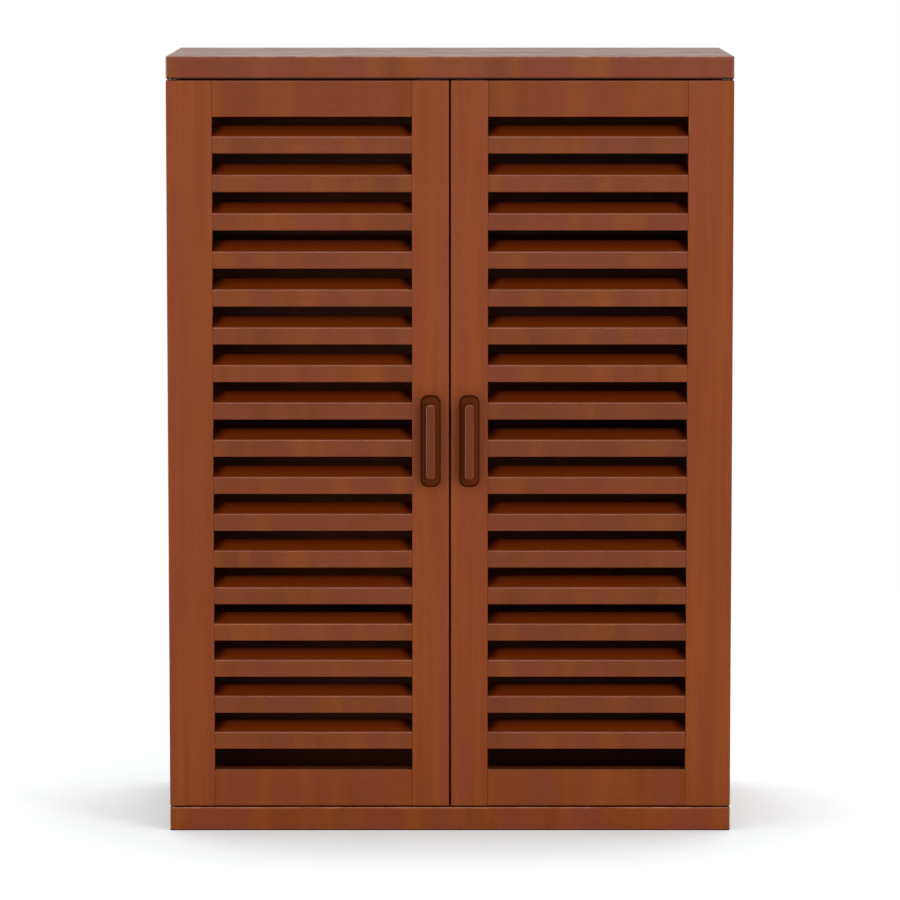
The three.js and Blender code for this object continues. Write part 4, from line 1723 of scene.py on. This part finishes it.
@dataclass(frozen=True)
class Door:
    """One framed door with its slats, handle, screws and strike plate."""

    side: Side
    finishes: Finishes
    frame_ease: float = 0.0012
    seam_ease: float = 0.0006
    heel_radius: float = 0.003
    rail_tenon_length: float = 0.030
    rail_tenon_thickness: float = 0.009
    rail_tenon_shoulder: float = 0.008
    slat_face: float = 0.0245
    slat_tilt: float = math.radians(45)
    slat_upper_ease: float = 0.0018
    slat_lower_ease: float = 0.001
    slat_back_ease: float = 0.003
    slat_back_setback: float = 0.0004
    slat_end_ease: float = 0.0002
    slat_tenon_length: float = 0.008
    slat_tenon_thickness: float = 0.008
    slat_tenon_width: float = 0.020
    tenon_corner: float = 0.0004
    section_steps: int = 8
    stile_corner_steps: int = 6
    pin_bore_radius: float = 0.0032
    pin_bore_depth: float = 0.0163
    pin_bore_sides: int = 32
    stop_inner: float = 0.0038
    stop_outer: float = 0.0066
    stop_depth: float = 0.0033
    stop_start: float = math.radians(-34)
    stop_end: float = math.radians(113)
    handle: Handle = Handle()
    handle_screw: Screw = Screw(
        head_radius=0.0040,
        head_height=0.0024,
        shank_radius=0.0019,
        shank_length=0.040,
    )
    strike_corner: float = 0.0025
    strike_corner_steps: int = 8
    strike_ease: float = 0.0002
    strike_screw: Screw = Screw(
        head_radius=0.0034,
        head_height=0.0010,
        shank_radius=0.0015,
        shank_length=0.012,
        countersunk=True,
        recess_depth=0.0009,
    )
    hinge_stile_tone: float = 0.98
    meeting_stile_tone: float = 0.97
    top_rail_tone: float = 0.82
    bottom_rail_tone: float = 0.86
    slat_tone: float = 0.96
    slat_tone_spread: float = 0.04
    right_door_shade: float = 0.935

    @property
    def body(self) -> str:
        """Returns the body that the door's pieces ride on."""
        return self.side.node("door")

    @property
    def shade(self) -> float:
        """Returns the tone of the door's boards: the right door's are slightly darker."""
        return 1.0 if self.side is Side.LEFT else self.right_door_shade

    def build(self) -> None:
        """Builds every piece of the door."""
        self.hinge_stile()
        self.meeting_stile()
        self.rail("bottom_rail", self.bottom_rail_tone)
        self.rail("top_rail", self.top_rail_tone)
        self.slats()
        self.pull()
        self.strike_plate()

    def settle(self, piece: Piece, node: str, slot: str, grain: Grain | None = None, **more: object) -> None:
        """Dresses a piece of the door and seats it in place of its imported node."""
        piece.settle(self.body, slot, self.finishes, [self.side.node(node)], grain, **more)

    def slat_nodes(self) -> list[str]:
        """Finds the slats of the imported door.

        Returns:
            Their names without their half, in order.
        """
        prefix = self.side.node("")
        names = sorted(name for name in frame["nodes"] if name.startswith(f"{prefix}slat_"))
        return [name.removeprefix(prefix) for name in names]

    def slat_edge(self, node: str) -> float:
        """Returns the height of a slat's lower front edge."""
        return self.side.box(node).low.z

    def slat_tenon(self, clearance: float) -> Outline:
        """Draws a slat's tenon or mortise, with the slat's lower front edge at the origin.

        Args:
            clearance: How much larger than the tenon it is drawn.

        Returns:
            The outline.
        """
        middle_depth = self.side.box("hinge_stile").size.y / 2
        middle = Vector((middle_depth, self.slat_face / 2 + middle_depth * math.tan(self.slat_tilt)))
        along = Vector((math.cos(self.slat_tilt), math.sin(self.slat_tilt)))
        half_width = self.slat_tenon_thickness / 2 + clearance
        half_length = self.slat_tenon_width / 2 + clearance
        return Outline.slanted(middle, along, half_length, half_width, self.tenon_corner, self.section_steps)

    def rail_tenon(self, box: Box, clearance: float) -> Outline:
        """Draws a rail's tenon or mortise across the door's thickness.

        Args:
            box: Box of the rail.
            clearance: How much larger than the tenon it is drawn.

        Returns:
            The outline.
        """
        middle, half = box.middle.y, self.rail_tenon_thickness / 2 + clearance
        shoulder = self.rail_tenon_shoulder - clearance
        low, high = (middle - half, box.low.z + shoulder), (middle + half, box.high.z - shoulder)
        return Outline.rectangle(low, high, self.tenon_corner)

    def mortises(self, edge: float, into: int) -> list[Shell]:
        """Makes the cutters for all joints of a stile.

        Args:
            edge: Where the stile's inner edge lies along X.
            into: 1 where the stile lies beyond the edge, and -1 where it lies before it.

        Returns:
            The cutters.
        """
        cutters = []
        start = edge - into * CUT_OVERRUN
        for node in ("bottom_rail", "top_rail"):
            outline = self.rail_tenon(self.side.box(node), JOINT_CLEARANCE)
            end = edge + into * (self.rail_tenon_length + JOINT_CLEARANCE)
            cutters.append(Shell.prism(outline, Axis.X, *sorted((start, end))))
        outline = self.slat_tenon(JOINT_CLEARANCE)
        end = edge + into * (self.slat_tenon_length + JOINT_CLEARANCE)
        cutter = Shell.prism(outline, Axis.X, *sorted((start, end)))
        front = self.side.box("hinge_stile").low.y
        cutters.extend(cutter.at(0.0, front, self.slat_edge(node)) for node in self.slat_nodes())
        return cutters

    def hinge_stile(self) -> None:
        """Builds the stile that turns on the pins, with its mortises, bores and stop pocket."""
        box = self.side.box("hinge_stile")
        radii = (self.frame_ease, self.seam_ease, self.seam_ease, self.heel_radius)
        plan = Outline.rectangle(box.low.xy, box.high.xy, radii, self.stile_corner_steps)
        shell = Shell.prism(plan, Axis.Z, box.low.z, box.high.z, self.seam_ease)
        pin = self.side.box("lower_pivot_pin").middle
        cuts = self.mortises(box.high.x, -1)
        depth = self.pin_bore_depth
        bores = ((box.low.z - CUT_OVERRUN, box.low.z + depth), (box.high.z - depth, box.high.z + CUT_OVERRUN))
        for heights in bores:
            bore = [(self.pin_bore_radius, height) for height in heights]
            cuts.append(Shell.lathe(bore, self.pin_bore_sides).at(pin.x, pin.y, 0.0))
        across, turn = (self.stop_inner, self.stop_outer), (self.stop_start, self.stop_end)
        pocket = Shell.sector(across, turn, (box.low.z - CUT_OVERRUN, box.low.z + self.stop_depth))
        cuts.append(pocket.at(pin.x, pin.y, 0.0))
        piece = Piece(self.side.node("hinge_stile"), shell, self.side).cut(cuts)
        grain = Grain(Axis.Z, Figure.STRAIGHT, self.hinge_stile_tone * self.shade)
        self.settle(piece, "hinge_stile", "frame_wood", grain)

    def meeting_stile(self) -> None:
        """Builds the stile that carries the handle, with its mortises and screw holes."""
        box = self.side.box("meeting_stile")
        radii = (self.seam_ease, self.frame_ease, self.frame_ease, self.seam_ease)
        plan = Outline.rectangle(box.low.xy, box.high.xy, radii, self.stile_corner_steps)
        shell = Shell.prism(plan, Axis.Z, box.low.z, box.high.z, self.seam_ease)
        cuts = self.mortises(box.low.x, 1)
        reach = box.size.y + 2 * CUT_OVERRUN
        radius, start = self.handle.socket_radius, box.low.y - CUT_OVERRUN
        drill = Shell.lathe([(radius, 0.0), (radius, reach)], self.handle.socket_sides).facing(REAR)
        cuts.extend(drill.at(x, start, z) for x, z in self.screw_places())
        piece = Piece(self.side.node("meeting_stile"), shell, self.side).cut(cuts)
        grain = Grain(Axis.Z, Figure.STRAIGHT, self.meeting_stile_tone * self.shade)
        self.settle(piece, "meeting_stile", "frame_wood", grain, held_at=self.side.box("handle").middle)

    def screw_places(self) -> list[tuple[float, float]]:
        """Returns x and z of the handle's two screws."""
        middle = self.side.box("handle").middle
        return [(middle.x, middle.z + turn * self.handle.screw_spacing / 2) for turn in (-1, 1)]

    def rail(self, node: str, tone: float) -> None:
        """Builds a rail with a tenon at each end.

        Args:
            node: The rail's name without its half.
            tone: Tone of its board.
        """
        box = self.side.box(node)
        body = Outline.rectangle((box.low.y, box.low.z), (box.high.y, box.high.z), self.frame_ease)
        shell = self.tenoned(box, body, self.rail_tenon(box, 0.0), self.rail_tenon_length, self.seam_ease)
        piece = Piece(self.side.node(node), shell, self.side)
        self.settle(piece, node, "frame_wood", Grain(Axis.X, Figure.RIPPLED, tone))

    def tenoned(
        self, box: Box, body: Outline, tenon: Outline, tenon_length: float, shoulder_ease: float
    ) -> Shell:
        """Runs a section along X between the stiles and a tenon beyond each end of it.

        Args:
            box: The piece's box, tenons included.
            body: Section of the body.
            tenon: Section of the tenons, with as many points.
            tenon_length: How far a tenon reaches into its stile.
            shoulder_ease: Chamfer round the body's ends.

        Returns:
            The closed skin.
        """
        start, end = box.low.x, box.high.x
        shoulders = start + tenon_length + SEAM_GAP, end - tenon_length - SEAM_GAP
        ease, turn = self.tenon_corner, shoulder_ease
        rings = [tenon.ring(Axis.X, start, ease / 2), tenon.ring(Axis.X, start + ease)]
        rings += [tenon.ring(Axis.X, shoulders[0]), body.ring(Axis.X, shoulders[0], turn)]
        rings += [body.ring(Axis.X, shoulders[0] + turn), body.ring(Axis.X, shoulders[1] - turn)]
        rings += [body.ring(Axis.X, shoulders[1], turn), tenon.ring(Axis.X, shoulders[1])]
        rings += [tenon.ring(Axis.X, end - ease), tenon.ring(Axis.X, end, ease / 2)]
        return Shell.loft(rings)

    def slat_section(self) -> Outline:
        """Draws a slat: an upright front edge, a top that slopes up and back, and an upright back edge.

        Returns:
            The outline.
        """
        along = Vector((math.cos(self.slat_tilt), math.sin(self.slat_tilt)))
        square = Vector((-along.y, along.x))
        depth = self.side.box("hinge_stile").size.y - self.slat_back_setback
        lower_back = along * (depth / along.x)
        upper_back = lower_back + square * (self.slat_face * along.x)
        corners = (
            Corner(0.0, 0.0, self.slat_lower_ease),
            Corner(lower_back.x, lower_back.y, self.slat_back_ease),
            Corner(upper_back.x, upper_back.y, self.slat_back_ease),
            Corner(0.0, self.slat_face, self.slat_upper_ease),
        )
        return Outline(corners, self.section_steps)

    def slats(self) -> None:
        """Builds the slats, each seated in the slanted mortises of both stiles."""
        front, slope = self.side.box("hinge_stile").low.y, math.tan(self.slat_tilt)
        section, tenon = self.slat_section(), self.slat_tenon(0.0)
        reach, ease = self.slat_tenon_length, self.slat_end_ease
        grain = Grain(Axis.X, Figure.RIPPLED, self.slat_tone * self.shade, self.slat_tone_spread)
        for node in self.slat_nodes():
            edge = self.slat_edge(node)
            shell = self.tenoned(self.side.box(node), section, tenon, reach, ease).at(0.0, front, edge)

            def rim(point: Vector, edge: float = edge) -> Vector:
                """Returns a point with the slat's slope taken out of its height."""
                return Vector((point.x, point.y, point.z - edge - (point.y - front) * slope))

            self.settle(Piece(self.side.node(node), shell, self.side), node, "slat_wood", grain, rim=rim)

    def pull(self) -> None:
        """Builds the handle and the two screws that hold it through the stile."""
        box = self.side.box("handle")
        place = (box.middle.x, box.high.y, box.middle.z)
        cuts = [socket.at(*place) for socket in self.handle.sockets()]
        piece = Piece(self.side.node("handle"), self.handle.shell().at(*place), self.side).cut(cuts)
        rim = self.handle.squared(box.middle, box.high.y)
        self.settle(piece, "handle", "handle_wood", Grain(Axis.Z, Figure.STRAIGHT), rim=rim)
        rear = self.side.box("meeting_stile").high.y + GLUE_LINE
        seats = [(x, rear, z) for x, z in self.screw_places()]
        screws = self.handle_screw.group(self.side.node("handle_screws"), seats, REAR, self.side)
        screws.settle(self.body, "fitting_steel", self.finishes)

    def strike_plate(self) -> None:
        """Builds the plate that the magnet holds, and its screw."""
        box = self.side.box("strike_plate")
        low, high = (box.low.x, box.low.z), (box.high.x, box.high.z)
        outline = Outline.rectangle(low, high, self.strike_corner, self.strike_corner_steps)
        shell = Shell.prism(outline, Axis.Y, box.low.y, box.high.y, self.strike_ease)
        x, y, z = box.middle.x, box.high.y, box.middle.z
        sink = self.strike_screw.sink().facing(REAR).at(x, y, z)
        piece = Piece(self.side.node("strike_plate"), shell, self.side).cut([sink])
        self.settle(piece, "strike_plate", "fitting_steel")
        name = self.side.node("strike_plate_screw")
        screw = self.strike_screw.group(name, [(x, y - GLUE_LINE, z)], REAR, self.side)
        screw.settle(self.body, "fitting_steel", self.finishes)


@dataclass(frozen=True)
class Fittings:
    """Pivot pins and magnetic catch of one door, fixed to the carcass."""

    side: Side
    finishes: Finishes
    body: str = "carcass"
    pin_radius: float = 0.003
    pin_chamfer: float = 0.0006
    pin_sides: int = 48
    flange_radius: float = 0.007
    flange_ease: float = 0.0004
    reveal: float = 0.0025
    lug_inner: float = 0.0041
    lug_outer: float = 0.0063
    lug_start: float = math.radians(-26)
    lug_end: float = math.radians(2)
    lug_height: float = 0.003
    catch_ease: float = 0.0012
    pole_width: float = 0.030
    pole_thickness: float = 0.0015
    pole_spacing: float = 0.005
    pole_proud: float = 0.0008
    pole_depth: float = 0.006
    pole_ease: float = 0.0002
    catch_screw: Screw = Screw(
        head_radius=0.0028,
        head_height=0.0016,
        shank_radius=0.0013,
        shank_length=0.006,
        countersunk=True,
        recess_depth=0.001,
    )
    catch_screw_spacing: float = 0.026

    def build(self) -> None:
        """Builds the pins and the catch."""
        self.pin("lower_pivot_pin", 1)
        self.pin("upper_pivot_pin", -1)
        self.catch()

    def pin(self, node: str, facing: int) -> None:
        """Builds a pin with its flange, and the lower one with its stop lug.

        Args:
            node: The pin's name without its half.
            facing: 1 where the door is above the pin's board, and -1 where it is below.
        """
        box = self.side.box(node)
        board = Box.of("bottom_board" if facing > 0 else "top_board")
        face = board.high.z if facing > 0 else board.low.z
        into_board = abs((box.low.z if facing > 0 else box.high.z) - face)
        into_door = abs((box.high.z if facing > 0 else box.low.z) - face)
        radius, flange, ease = self.pin_radius, self.flange_radius, self.flange_ease
        flange_top = self.reveal - JOINT_CLEARANCE
        profile = [
            (radius - self.pin_chamfer, -into_board),
            (radius, -into_board + self.pin_chamfer),
            (radius, GLUE_LINE),
            (flange - ease, GLUE_LINE),
            (flange, GLUE_LINE + ease),
            (flange, flange_top - ease),
            (flange - ease, flange_top),
            (radius, flange_top),
            (radius, into_door - self.pin_chamfer),
            (radius - self.pin_chamfer, into_door),
        ]
        shell = Shell.lathe(profile, self.pin_sides)
        shell = shell if facing > 0 else shell.moved(Matrix.Diagonal((1, 1, -1, 1)))
        piece = Piece(self.side.node(node), shell.at(box.middle.x, box.middle.y, face), self.side)
        if facing > 0:
            across, turn = (self.lug_inner, self.lug_outer), (self.lug_start, self.lug_end)
            lug = Shell.sector(across, turn, (flange_top / 2, self.reveal + self.lug_height))
            piece.join([lug.at(box.middle.x, box.middle.y, face)])
        piece.settle(self.body, "fitting_steel", self.finishes, [self.side.node(node)])

    def catch(self) -> None:
        """Builds the magnetic catch: its case, its two pole plates and its screws."""
        node = self.side.node("magnet_catch")
        box = self.side.box("magnet_catch")
        low = Vector((box.low.x, box.low.y + self.pole_proud, box.low.z))
        case = Shell.block(low, box.high, self.catch_ease)
        x, z = box.middle.x, box.middle.z
        spread, depth = self.catch_screw_spacing / 2, box.middle.y + self.pole_proud
        seats = [(x + turn * spread, depth, box.low.z) for turn in (-1, 1)]
        cuts = [self.catch_screw.sink().facing(DOWN).at(*seat) for seat in seats]
        piece = Piece(node, case, self.side).cut(cuts)
        piece.settle(self.body, "catch_plastic", self.finishes, [node])
        poles = []
        half_width, half = self.pole_width / 2, self.pole_thickness / 2
        for turn in (-1, 1):
            height = z + turn * self.pole_spacing / 2
            pole_low = (x - half_width, box.low.y, height - half)
            pole_high = (x + half_width, box.low.y + self.pole_depth, height + half)
            poles.append(Shell.block(pole_low, pole_high, self.pole_ease))
        plates = Piece(self.side.node("catch_poles"), Shell.together(poles), self.side)
        plates.settle(self.body, "fitting_steel", self.finishes)
        flush = [(x, y, z + GLUE_LINE) for x, y, z in seats]
        screws = self.catch_screw.group(self.side.node("catch_screws"), flush, DOWN, self.side)
        screws.settle(self.body, "fitting_steel", self.finishes)


@dataclass(frozen=True)
class Lamp:
    """Soft rectangular lamp that looks at a point."""

    name: str
    place: Place
    target: Place
    width: float
    height: float
    power: float
    only_shine: bool = False

    def hang(self) -> None:
        """Adds the lamp to the scene."""
        data = bpy.data.lights.new(self.name, "AREA")
        data.shape = "RECTANGLE"
        data.size = self.width
        data.size_y = self.height
        data.energy = self.power
        lamp = bpy.data.objects.new(self.name, data)
        lamp.location = self.place
        aim = Vector(self.target) - Vector(self.place)
        lamp.rotation_euler = aim.to_track_quat("-Z", "Y").to_euler()
        lamp.visible_camera = False
        lamp.visible_diffuse = not self.only_shine
        bpy.context.scene.collection.objects.link(lamp)


@dataclass(frozen=True)
class Studio:
    """White floor and background, soft lamps and the camera."""

    floor_reach: float = 120.0
    floor_bounce: float = 0.8
    floor_shine: float = 0.2
    floor_seen: Colour = (0.965, 1.0, 1.01)
    floor_glow: float = 0.06
    white_from: float = 1.1
    white_at: float = 2.6
    horizon_light: float = 1.48
    zenith_light: float = 0.2
    horizon_shine: float = 0.56
    zenith_shine: float = 0.16
    zenith_from: float = 0.85
    sky_irradiance: float = 1.75
    sky_angle: float = math.radians(32)
    sky_tilt: float = math.radians(4)
    camera_distance: float = 7.044
    camera_height: float = 1.333
    camera_pitch: float = math.radians(6.365)
    lens: float = 199.95
    sensor: float = 36.0
    lamps: tuple[Lamp, ...] = (
        Lamp(
            "key_softbox",
            place=(4.2, -4.6, 1.6),
            target=(0.0, 0.0, 0.6),
            width=1.1,
            height=1.5,
            power=105.0,
        ),
        Lamp(
            "left_card",
            place=(-3.1, -1.1, 0.9),
            target=(0.0, -0.2, 0.6),
            width=0.5,
            height=1.8,
            power=95.0,
            only_shine=True,
        ),
        Lamp(
            "top_card",
            place=(0.0, -2.3, 3.2),
            target=(0.0, -0.2, 0.6),
            width=2.4,
            height=0.7,
            power=120.0,
            only_shine=True,
        ),
        Lamp(
            "front_card",
            place=(0.7, -4.2, 1.4),
            target=(0.0, -0.2, 1.1),
            width=3.0,
            height=0.6,
            power=14.0,
            only_shine=True,
        ),
    )

    def build(self) -> None:
        """Sets the floor, the light, the camera and the plain view transform."""
        self.floor()
        self.world()
        for lamp in self.lamps:
            lamp.hang()
        self.sky()
        self.camera()
        bpy.context.scene.view_settings.view_transform = "Standard"

    def floor(self) -> None:
        """Lays a pale floor that keeps the shadow near the cabinet and turns white farther off."""
        reach = self.floor_reach
        mesh = bpy.data.meshes.new("floor")
        corners = [(-reach, -reach, 0), (reach, -reach, 0), (reach, reach, 0), (-reach, reach, 0)]
        mesh.from_pydata(corners, [], [(0, 1, 2, 3)])
        floor = bpy.data.objects.new("floor", mesh)
        bpy.context.scene.collection.objects.link(floor)
        floor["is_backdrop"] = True
        material = bpy.data.materials.new("floor")
        material.use_nodes = True
        mesh.materials.append(material)
        graph = Graph(material.node_tree)
        distance = graph.node("ShaderNodeVectorMath", operation="LENGTH")
        graph.feed(distance.inputs[0], graph.node("ShaderNodeTexCoord").outputs["Object"])
        far = graph.ramp(distance.outputs["Value"], self.white_from, self.white_at)
        path = graph.node("ShaderNodeLightPath").outputs
        seen = path["Is Camera Ray"]
        matt = graph.node("ShaderNodeBsdfDiffuse")
        grey = graph.blend(path["Is Glossy Ray"], (self.floor_bounce,) * 3, (self.floor_shine,) * 3)
        graph.feed(matt.inputs["Color"], graph.blend(seen, grey, self.floor_seen))
        glow = graph.node("ShaderNodeEmission")
        graph.feed(glow.inputs["Strength"], graph.math("MULTIPLY", seen, self.floor_glow))
        near = graph.node("ShaderNodeAddShader")
        graph.feed(near.inputs[0], matt.outputs[0])
        graph.feed(near.inputs[1], glow.outputs[0])
        white = graph.node("ShaderNodeEmission")
        mixed = graph.node("ShaderNodeMixShader")
        graph.feed(mixed.inputs[0], graph.math("MULTIPLY", far, seen))
        graph.feed(mixed.inputs[1], near.outputs[0])
        graph.feed(mixed.inputs[2], white.outputs[0])
        graph.feed(graph.node("ShaderNodeOutputMaterial").inputs["Surface"], mixed.outputs[0])

    def world(self) -> None:
        """Makes the background white, and the light and reflections that come from it softer."""
        world = bpy.data.worlds.new("studio")
        bpy.context.scene.world = world
        world.use_nodes = True
        graph = Graph(world.node_tree)
        path = graph.node("ShaderNodeLightPath").outputs
        height = graph.parts(graph.node("ShaderNodeTexCoord").outputs["Generated"])[2]
        rise = graph.ramp(height, 0.0, self.zenith_from)
        light, shine = (
            graph.math("MULTIPLY_ADD", rise, zenith - horizon, horizon)
            for horizon, zenith in (
                (self.horizon_light, self.zenith_light),
                (self.horizon_shine, self.zenith_shine),
            )
        )
        glossy = graph.math("MAXIMUM", path["Is Glossy Ray"], path["Is Transmission Ray"])
        gain = graph.math("MULTIPLY", glossy, graph.math("SUBTRACT", shine, light))
        level = graph.math("ADD", light, gain)
        level = graph.math("MULTIPLY_ADD", path["Is Camera Ray"], graph.rest(level), level)
        background = graph.node("ShaderNodeBackground")
        background.inputs["Color"].default_value = (1.0, 1.0, 1.0, 1.0)
        graph.feed(background.inputs["Strength"], level)
        graph.feed(graph.node("ShaderNodeOutputWorld").inputs["Surface"], background.outputs[0])

    def sky(self) -> None:
        """Adds the broad even light from above that casts the short shadow on the floor."""
        data = bpy.data.lights.new("overhead_light", "SUN")
        data.energy = self.sky_irradiance
        data.angle = self.sky_angle
        light = bpy.data.objects.new("overhead_light", data)
        light.rotation_euler = (-self.sky_tilt, 0.0, 0.0)
        bpy.context.scene.collection.objects.link(light)

    def camera(self) -> None:
        """Places the camera where the photograph was taken from, a little farther back."""
        data = bpy.data.cameras.new("camera")
        data.sensor_width = self.sensor
        data.lens = self.lens
        data.clip_end = 4 * self.floor_reach
        camera = bpy.data.objects.new("camera", data)
        front = Box.of("left_hinge_stile").low.y
        camera.location = (0.0, front - self.camera_distance, self.camera_height)
        camera.rotation_euler = (math.pi / 2 - self.camera_pitch, 0.0, 0.0)
        bpy.context.scene.collection.objects.link(camera)
        bpy.context.scene.camera = camera


def main() -> None:
    """Builds the cabinet and the studio round it, and works out both boxes of the model."""
    logging.basicConfig(level=logging.INFO, format="%(message)s")
    finishes = Finishes()
    Carcass(finishes).build()
    for side in Side:
        Door(side, finishes).build()
        Fittings(side, finishes).build()
    Studio().build()
    boxes = {"cad": CAD_BOUNDS, "visual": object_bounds()}
    plain = {name: [[float(x) for x in corner] for corner in box] for name, box in boxes.items()}


if __name__ == "__main__":
    main()
